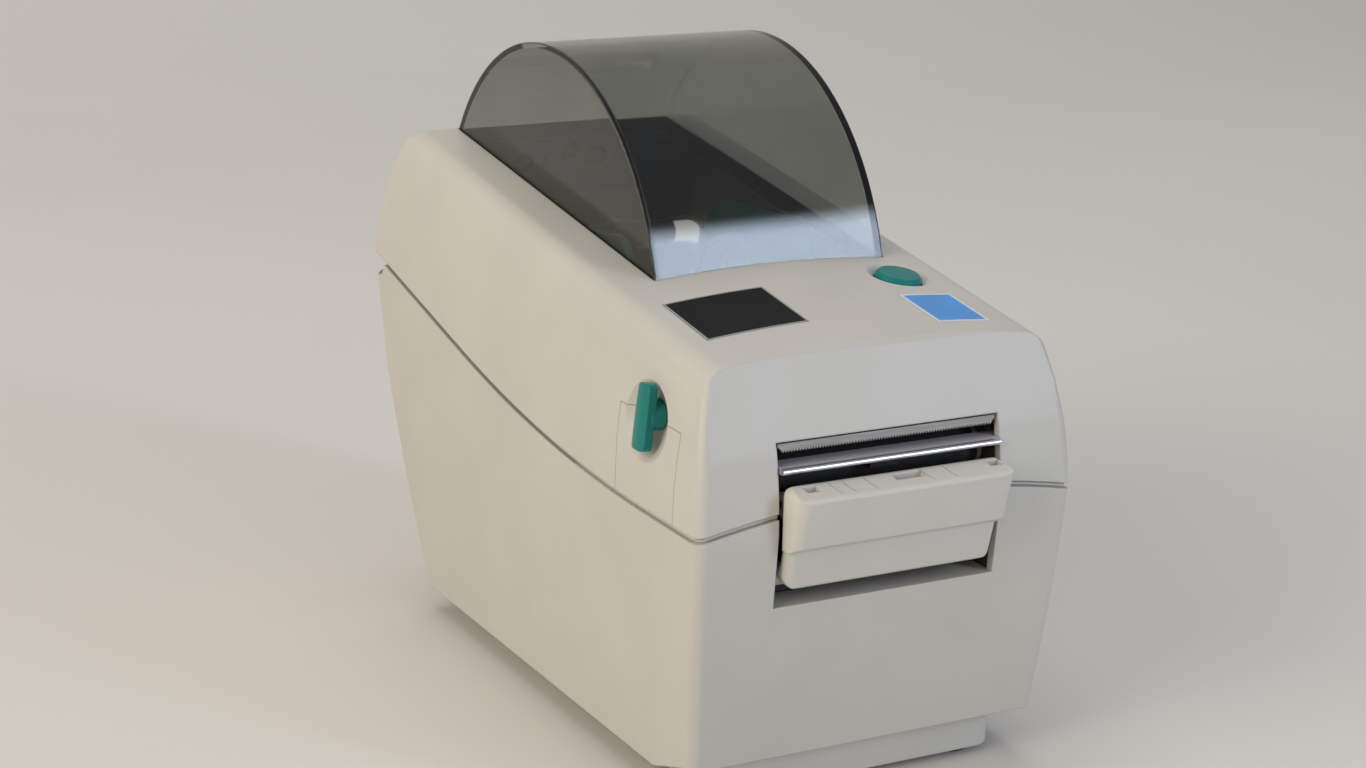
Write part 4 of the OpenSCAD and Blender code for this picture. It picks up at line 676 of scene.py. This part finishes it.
def endPattern(tree, gin, gout, stamp):  # the stamp on every point, as real faces in one material
    place = addNode(tree, "GeometryNodeInstanceOnPoints")
    feed(tree, gin.outputs["Geometry"], place.inputs["Points"])
    feed(tree, stamp, place.inputs["Instance"])
    real = addNode(tree, "GeometryNodeRealizeInstances")
    feed(tree, place.outputs[0], real.inputs[0])
    paint = addNode(tree, "GeometryNodeSetMaterial")
    feed(tree, real.outputs[0], paint.inputs["Geometry"])
    feed(tree, gin.outputs["Material"], paint.inputs["Material"])
    feed(tree, paint.outputs[0], gout.inputs[0])
    return tree


def makePinPattern():  # round pins with tapered tips, lying along Y
    tree, gin, gout = startPattern("pinPattern", [("Radius", 0.0005), ("Length", 0.004), ("Tip", 0.4),
                                                  ("Sides", 12)])
    cone = addNode(tree, "GeometryNodeMeshCone", fill_type="NGON")
    feed(tree, gin.outputs["Sides"], cone.inputs["Vertices"])
    feed(tree, gin.outputs["Radius"], cone.inputs["Radius Bottom"])
    tip = mathNode(tree, "MULTIPLY", gin.outputs["Radius"], gin.outputs["Tip"])
    feed(tree, tip, cone.inputs["Radius Top"])
    feed(tree, gin.outputs["Length"], cone.inputs["Depth"])
    turn = addNode(tree, "GeometryNodeTransform")
    feed(tree, cone.outputs["Mesh"], turn.inputs["Geometry"])
    turn.inputs["Rotation"].default_value = (math.radians(-90), 0, 0)
    return endPattern(tree, gin, gout, turn.outputs[0])


def makeStripPattern():  # flat sprung strips that bow up in the middle
    tree, gin, gout = startPattern("stripPattern", [("Width", 0.0005), ("Length", 0.005),
                                                    ("Thickness", 0.0002)])
    box = addNode(tree, "GeometryNodeMeshCube")
    size = joinVector(tree, gin.outputs["Width"], gin.outputs["Length"], gin.outputs["Thickness"])
    feed(tree, size, box.inputs["Size"])
    box.inputs["Vertices Y"].default_value = 5
    along = splitPoint(tree, addNode(tree, "GeometryNodeInputPosition").outputs[0])["Y"]
    part = mathNode(tree, "DIVIDE", along, mathNode(tree, "MULTIPLY", gin.outputs["Length"], 0.5))
    rise = mathNode(tree, "SUBTRACT", 1.0, mathNode(tree, "MULTIPLY", part, part))
    bend = addNode(tree, "GeometryNodeSetPosition")
    feed(tree, box.outputs["Mesh"], bend.inputs["Geometry"])
    arch = mathNode(tree, "MULTIPLY", rise, gin.outputs["Thickness"])
    feed(tree, joinVector(tree, 0.0, 0.0, arch), bend.inputs["Offset"])
    return endPattern(tree, gin, gout, bend.outputs[0])


def makeBeadPattern():  # low round joints of solder
    tree, gin, gout = startPattern("beadPattern", [("Radius", 0.0009), ("Flat", 0.5), ("Segments", 10)])
    ball = addNode(tree, "GeometryNodeMeshUVSphere")
    feed(tree, gin.outputs["Segments"], ball.inputs["Segments"])
    ball.inputs["Rings"].default_value = 6
    feed(tree, gin.outputs["Radius"], ball.inputs["Radius"])
    press = addNode(tree, "GeometryNodeTransform")
    feed(tree, ball.outputs["Mesh"], press.inputs["Geometry"])
    feed(tree, joinVector(tree, 1.0, 1.0, gin.outputs["Flat"]), press.inputs["Scale"])
    return endPattern(tree, gin, gout, press.outputs[0])


ribCrown = 0.6  # how far along its run a rib bends most


def makeGuideRibPattern():  # low curved ribs that lead the paper
    tree, gin, gout = startPattern("guideRibPattern", [("Length", 0.006), ("Drop", 0.001), ("Bend", 0.001),
                                                       ("Width", 0.0003), ("Rise", 0.0001)])
    path = addNode(tree, "GeometryNodeCurveQuadraticBezier")
    path.inputs["Resolution"].default_value = 10
    back = mathNode(tree, "MULTIPLY", gin.outputs["Length"], -1.0)
    down = mathNode(tree, "MULTIPLY", gin.outputs["Drop"], -1.0)
    middleY, middleZ = (mathNode(tree, "MULTIPLY", way, ribCrown) for way in (back, down))
    feed(tree, joinVector(tree, 0.0, middleY, middleZ), path.inputs["Middle"])
    feed(tree, joinVector(tree, gin.outputs["Bend"], back, down), path.inputs["End"])
    path.inputs["Start"].default_value = (0, 0, 0)
    section = addNode(tree, "GeometryNodeCurvePrimitiveQuadrilateral")
    feed(tree, gin.outputs["Width"], section.inputs["Width"])
    feed(tree, mathNode(tree, "MULTIPLY", gin.outputs["Rise"], 2.0), section.inputs["Height"])
    sweep = addNode(tree, "GeometryNodeCurveToMesh")
    sweep.inputs["Fill Caps"].default_value = True
    feed(tree, path.outputs[0], sweep.inputs["Curve"])
    feed(tree, section.outputs[0], sweep.inputs["Profile Curve"])
    return endPattern(tree, gin, gout, sweep.outputs[0])


def layPattern(name, tree, points, sizes, material, body):
    mesh = bpy.data.meshes.new(name + ".points")
    mesh.from_pydata([tuple(p) for p in points], [], [])
    obj = bpy.data.objects.new(name, mesh)
    bpy.context.collection.objects.link(obj)
    modifier = obj.modifiers.new("pattern", "NODES")
    modifier.node_group = tree
    for item in tree.interface.items_tree:
        if item.in_out == "INPUT" and item.name.lower() in sizes:
            modifier[item.identifier] = sizes[item.name.lower()]
        elif item.in_out == "INPUT" and item.name == "Material":
            modifier[item.identifier] = material
    graph = bpy.context.evaluated_depsgraph_get()
    plain = bpy.data.meshes.new_from_object(obj.evaluated_get(graph))
    obj.modifiers.clear()
    obj.data = plain
    setNormalsOut(plain)
    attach(obj, body)
    print(name + ":", len(points), "laid,", len(plain.polygons), "faces")


def setNormalsOut(mesh):
    work = bmesh.new()
    work.from_mesh(mesh)
    bmesh.ops.recalc_face_normals(work, faces=work.faces)
    work.to_mesh(mesh)
    work.free()


pinPattern = makePinPattern()
stripPattern = makeStripPattern()
beadPattern = makeBeadPattern()
guideRibPattern = makeGuideRibPattern()
goldLook = {"colour": (0.62, 0.47, 0.22), "rough": 0.25, "edge": 0.00005, "along": 2000.0}
solderLook = {"colour": (0.5, 0.5, 0.5), "rough": 0.34, "edge": 0.00005, "along": 1500.0}
pinGold = metalMaterial("pinGold", goldLook)
solder = metalMaterial("solder", solderLook)

serialPins = {"rows": ((5, 0.00142), (4, -0.00142)), "pitch": 0.00277, "middle": 0.007, "back": 0.0022,
              "length": 0.0034, "radius": 0.0005, "tip": 0.45}
pinPoints = []
for count, rise in serialPins["rows"]:
    for i in range(count):
        pinPoints.append((serialMid.x + (i - (count - 1) / 2) * serialPins["pitch"],
                          serialHigh.y - serialPins["back"] - serialPins["length"] / 2,
                          serialLow.z + serialPins["middle"] + rise))
layPattern("serialPins", pinPattern, pinPoints, serialPins, pinGold, "base")

usbStrips = {"spread": 0.0012, "back": 0.0042, "rises": (0.00392, 0.007),
             "length": 0.0045, "width": 0.0009, "thickness": 0.00012}
stripPoints = [(usbMid.x + side * usbStrips["spread"], usbHigh.y - usbStrips["back"], usbLow.z + rise)
               for side in (-1, 1) for rise in usbStrips["rises"]]
layPattern("usbStrips", stripPattern, stripPoints, usbStrips, pinGold, "base")

# from here places are in mm, the pieces' own sizes in metres
boardJoints = {"rows": (-20, -12, -4, 0, 4, 9, 14, 19, 26, 34, 41, 55, 58, 61), "left": -26, "right": 28,
               "stagger": 3, "pitch": 4, "under": 15.93, "radius": 0.0008, "flat": 0.45}
jointPoints = []
for y in boardJoints["rows"]:
    first = boardJoints["left"] + y % boardJoints["stagger"]
    jointPoints += [mm(x, y, boardJoints["under"])
                    for x in range(first, boardJoints["right"], boardJoints["pitch"])]
layPattern("boardJoints", beadPattern, jointPoints, boardJoints, solder, "base")

chipLegs = {"rows": (-4.6, 16.6), "left": -13, "right": 6, "top": 17.75,
            "length": 0.0016, "width": 0.0004, "thickness": 0.0002}
legPoints = [mm(x, y, chipLegs["top"]) for x in range(chipLegs["left"], chipLegs["right"])
             for y in chipLegs["rows"]]
layPattern("chipLegs", stripPattern, legPoints, chipLegs, solder, "base")

doorRibs = {"places": (-19.6, -15.8, -9.6, 6.8, 13.4), "back": -100.6, "top": 86.47,
            "length": 0.0058, "drop": 0.00105, "bend": 0.0009, "width": 0.0003, "rise": 0.00009}
ribPoints = [mm(x, doorRibs["back"], doorRibs["top"]) for x in doorRibs["places"]]
layPattern("doorRibs", guideRibPattern, ribPoints, doorRibs, doorPlastic, "door")
print("small repeated pieces laid")

sheetLook = {"left": -24.0, "right": 37.0, "low": 117.5, "high": 136.0, "rows": 20, "columns": 24,
             "start": 60, "gap": 0.06, "thick": 0.12, "corner": 1.5, "facing": 0.3, "smallest": 1e-7,
             # the film's colour is partly its own blue-grey and partly painted shade for the dim inside of
             # the cover
             "colour": (0.10, 0.145, 0.205), "dark": 0.88, "light": 1.08, "rough": (0.36, 0.46),
             "grain": 2200.0, "mottle": 120.0, "bump": 0.12, "bumpDepth": 0.00003,
             "ink": (0.010, 0.013, 0.015), "inkDepth": 0.8, "wear": {"scale": 420.0, "detail": 4.0},
             "wearSpan": (0.35, 0.55), "soft": 0.12,
             "rings": ((-8.0, 128.0, 3.2, 1.5), (7.0, 131.0, 3.0, 2.2), (16.0, 128.5, 3.4, 1.4),
                       (0.0, 128.5, 2.0, 1.1))}


def sheetMaterial(name, look):  # a blue-grey film darkened by painted shade, with a few worn round marks
    material, tree, shader = startMaterial(name)
    point = objectPoint(tree)
    split = splitPoint(tree, point)
    marks = None
    for x, z, radius, width in look["rings"]:
        dx = mathNode(tree, "SUBTRACT", split["X"], x / 1000)
        dz = mathNode(tree, "SUBTRACT", split["Z"], z / 1000)
        squares = [mathNode(tree, "MULTIPLY", d, d) for d in (dx, dz)]
        away = mathNode(tree, "SQRT", mathNode(tree, "ADD", *squares))
        off = mathNode(tree, "ABSOLUTE", mathNode(tree, "SUBTRACT", away, (radius - width / 2) / 1000))
        ring = rampNode(tree, off, (width / 2 + look["soft"]) / 1000, (width / 2 - look["soft"]) / 1000)
        marks = ring if marks is None else mathNode(tree, "MAXIMUM", marks, ring)
    worn = rampNode(tree, noise(tree, point, **look["wear"]), *look["wearSpan"])
    grain = placeGroup(tree, mouldedGrain, {"Grain": look["grain"], "Mottle": look["mottle"]})
    film = toneColour(tree, rampNode(tree, grain.outputs["Tone"], *noiseSpan), look)
    ink = mathNode(tree, "MULTIPLY", mathNode(tree, "MULTIPLY", marks, worn), look["inkDepth"])
    feed(tree, mixColour(tree, ink, film, look["ink"]), shader.inputs["Base Color"])
    roughness = rampNode(tree, grain.outputs["Tone"], *noiseSpan, *look["rough"])
    feed(tree, roughness, shader.inputs["Roughness"])
    bumpInto(tree, shader, grain.outputs["Height"], None, look["bump"], look["bumpDepth"])
    return material


def makeInnerSheet(name, look):  # follows the inside of the cover's rear wall
    cover = nodes["top_cover"]
    toCover = cover.matrix_world.inverted()
    turnBack = toCover.to_3x3()
    mesh = bpy.data.meshes.new(name)
    work = bmesh.new()
    grid = []
    for i in range(look["rows"] + 1):
        z = look["low"] + (look["high"] - look["low"]) * i / look["rows"]
        short = look["corner"] if i in (0, look["rows"]) else 0.0
        line = []
        for j in range(look["columns"] + 1):
            x = look["left"] + short + (look["right"] - look["left"] - 2 * short) * j / look["columns"]
            start, backwards = toCover @ mm(x, look["start"], z), turnBack @ Vector((0, 1, 0))
            hit, spot, normal = cover.ray_cast(start, backwards)[:3]
            if not hit:
                raise RuntimeError("the sheet missed the cover")
            spot = cover.matrix_world @ spot
            lift = (cover.matrix_world.to_3x3() @ normal).normalized() / 1000
            line.append([work.verts.new(spot + lift * (look["gap"] + look["thick"] * k)) for k in (0, 1)])
        grid.append(line)
    for upper, lower in zip(grid[1:], grid):
        for a, b, c, d in zip(lower, lower[1:], upper[1:], upper):
            work.faces.new((a[1], b[1], c[1], d[1]))
            work.faces.new((d[0], c[0], b[0], a[0]))
    for line in (grid[0], grid[-1]):
        for a, b in zip(line, line[1:]):
            work.faces.new((a[0], b[0], b[1], a[1]))
    for a, b in zip(grid, grid[1:]):
        for end in (0, -1):
            work.faces.new((a[end][0], b[end][0], b[end][1], a[end][1]))
    bmesh.ops.recalc_face_normals(work, faces=work.faces)
    work.to_mesh(mesh)
    work.free()
    obj = bpy.data.objects.new(name, mesh)
    bpy.context.collection.objects.link(obj)
    mesh.materials.append(sheetMaterial(name + "Film", look))
    for face in mesh.polygons:
        face.use_smooth = abs(face.normal.y) > look["facing"] and face.area > look["smallest"]
    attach(obj, "cover")
    print(name + ":", len(mesh.polygons), "faces")


makeInnerSheet("innerSheet", sheetLook)

studio = {"colour": (0.68, 0.66, 0.62), "width": 6.0, "front": -3.0, "turn": 1.6, "radius": 0.9,
          "height": 3.2, "steps": 24, "dark": 0.985, "light": 1.01, "paintedLightSpan": (0.7, 1.9), "far": 1.28,
          "rough": 0.85, "specular": 0.15, "sheen": {"scale": 3.0, "detail": 3.0}}
room = {"colour": (0.945, 0.945, 1.0), "strength": 0.37}


def makeBackdrop():  # a floor that curves up into a wall, with painted light making it paler towards the wall
    turn, radius = studio["turn"], studio["radius"]
    curve = [(studio["front"], 0.0)]
    for i in range(studio["steps"] + 1):
        a = math.radians(-90 + 90 * i / studio["steps"])
        curve.append((turn + radius * math.cos(a), radius * (1 + math.sin(a))))
    curve.append((turn + radius, studio["height"]))
    mesh = bpy.data.meshes.new("backdrop")
    work = bmesh.new()
    rows = [[work.verts.new((x, y, z)) for x in (-studio["width"], studio["width"])] for y, z in curve]
    for a, b in zip(rows, rows[1:]):
        work.faces.new((a[0], a[1], b[1], b[0]))
    work.to_mesh(mesh)
    work.free()
    for face in mesh.polygons:
        face.use_smooth = True
    obj = bpy.data.objects.new("backdrop", mesh)
    bpy.context.collection.objects.link(obj)
    material, tree, shader = startMaterial("paper")
    sheen = rampNode(tree, noise(tree, stretchedPoint(tree), **studio["sheen"]), *noiseSpan)
    paper = toneColour(tree, sheen, studio)
    # painted light: the paper is made paler towards the wall than the lamps light it
    depth = splitPoint(tree, objectPoint(tree))["Y"]
    far = rampNode(tree, depth, *studio["paintedLightSpan"])
    paintedLitPaper = mixColour(tree, far, paper, shade(studio["colour"], studio["far"]))
    feed(tree, paintedLitPaper, shader.inputs["Base Color"])
    shader.inputs["Roughness"].default_value = studio["rough"]
    shader.inputs["Specular IOR Level"].default_value = studio["specular"]
    mesh.materials.append(material)


lampLooks = [
    {"name": "leftWindow", "place": (-1.6, -0.35, 0.85), "aim": (0, 0, 0.08), "size": (1.3, 1.3),
     "watts": 20.5, "colour": (1.0, 0.915, 0.735)},
    {"name": "frontCard", "place": (0.758, -1.279, 0.608), "aim": (0, -0.08, 0.12), "size": (0.27, 1.0),
     "roll": -11, "watts": 9.1, "colour": (0.69, 0.80, 1.0), "fade": (0.72, 1.0)},
    {"name": "overhead", "place": (0.1, 0.7, 1.9), "aim": (0, 0, 0.1), "size": (1.6, 1.6),
     "watts": 11.5, "colour": (1.0, 0.985, 0.965), "hidden": True},
]


def fadeLamp(lamp, fade):  # a card that grows dimmer towards its top
    lamp.use_nodes = True
    tree = lamp.node_tree
    place = splitPoint(tree, addNode(tree, "ShaderNodeNewGeometry").outputs["Parametric"])
    feed(tree, rampNode(tree, place["Y"], fade[1], fade[0]), tree.nodes["Emission"].inputs["Strength"])


def makeLamp(look):
    lamp = bpy.data.lights.new(look["name"], "AREA")
    lamp.shape = "RECTANGLE"
    lamp.size, lamp.size_y = look["size"]
    lamp.energy = look["watts"]
    lamp.color = look["colour"]
    if "fade" in look:
        fadeLamp(lamp, look["fade"])
    obj = bpy.data.objects.new(look["name"], lamp)
    obj.visible_glossy = obj.visible_transmission = not look.get("hidden", False)
    obj.location = look["place"]
    facing = (Vector(look["aim"]) - Vector(look["place"])).to_track_quat("-Z", "Y")
    obj.rotation_euler = (facing @ Quaternion((0, 0, 1), math.radians(look.get("roll", 0)))).to_euler()
    bpy.context.collection.objects.link(obj)


def makeWorld():
    world = bpy.data.worlds.new("room")
    world.use_nodes = True
    back = world.node_tree.nodes["Background"]
    back.inputs["Color"].default_value = (*room["colour"], 1)
    back.inputs["Strength"].default_value = room["strength"]
    bpy.context.scene.world = world


makeBackdrop()
for look in lampLooks:
    makeLamp(look)
makeWorld()
print("studio made")
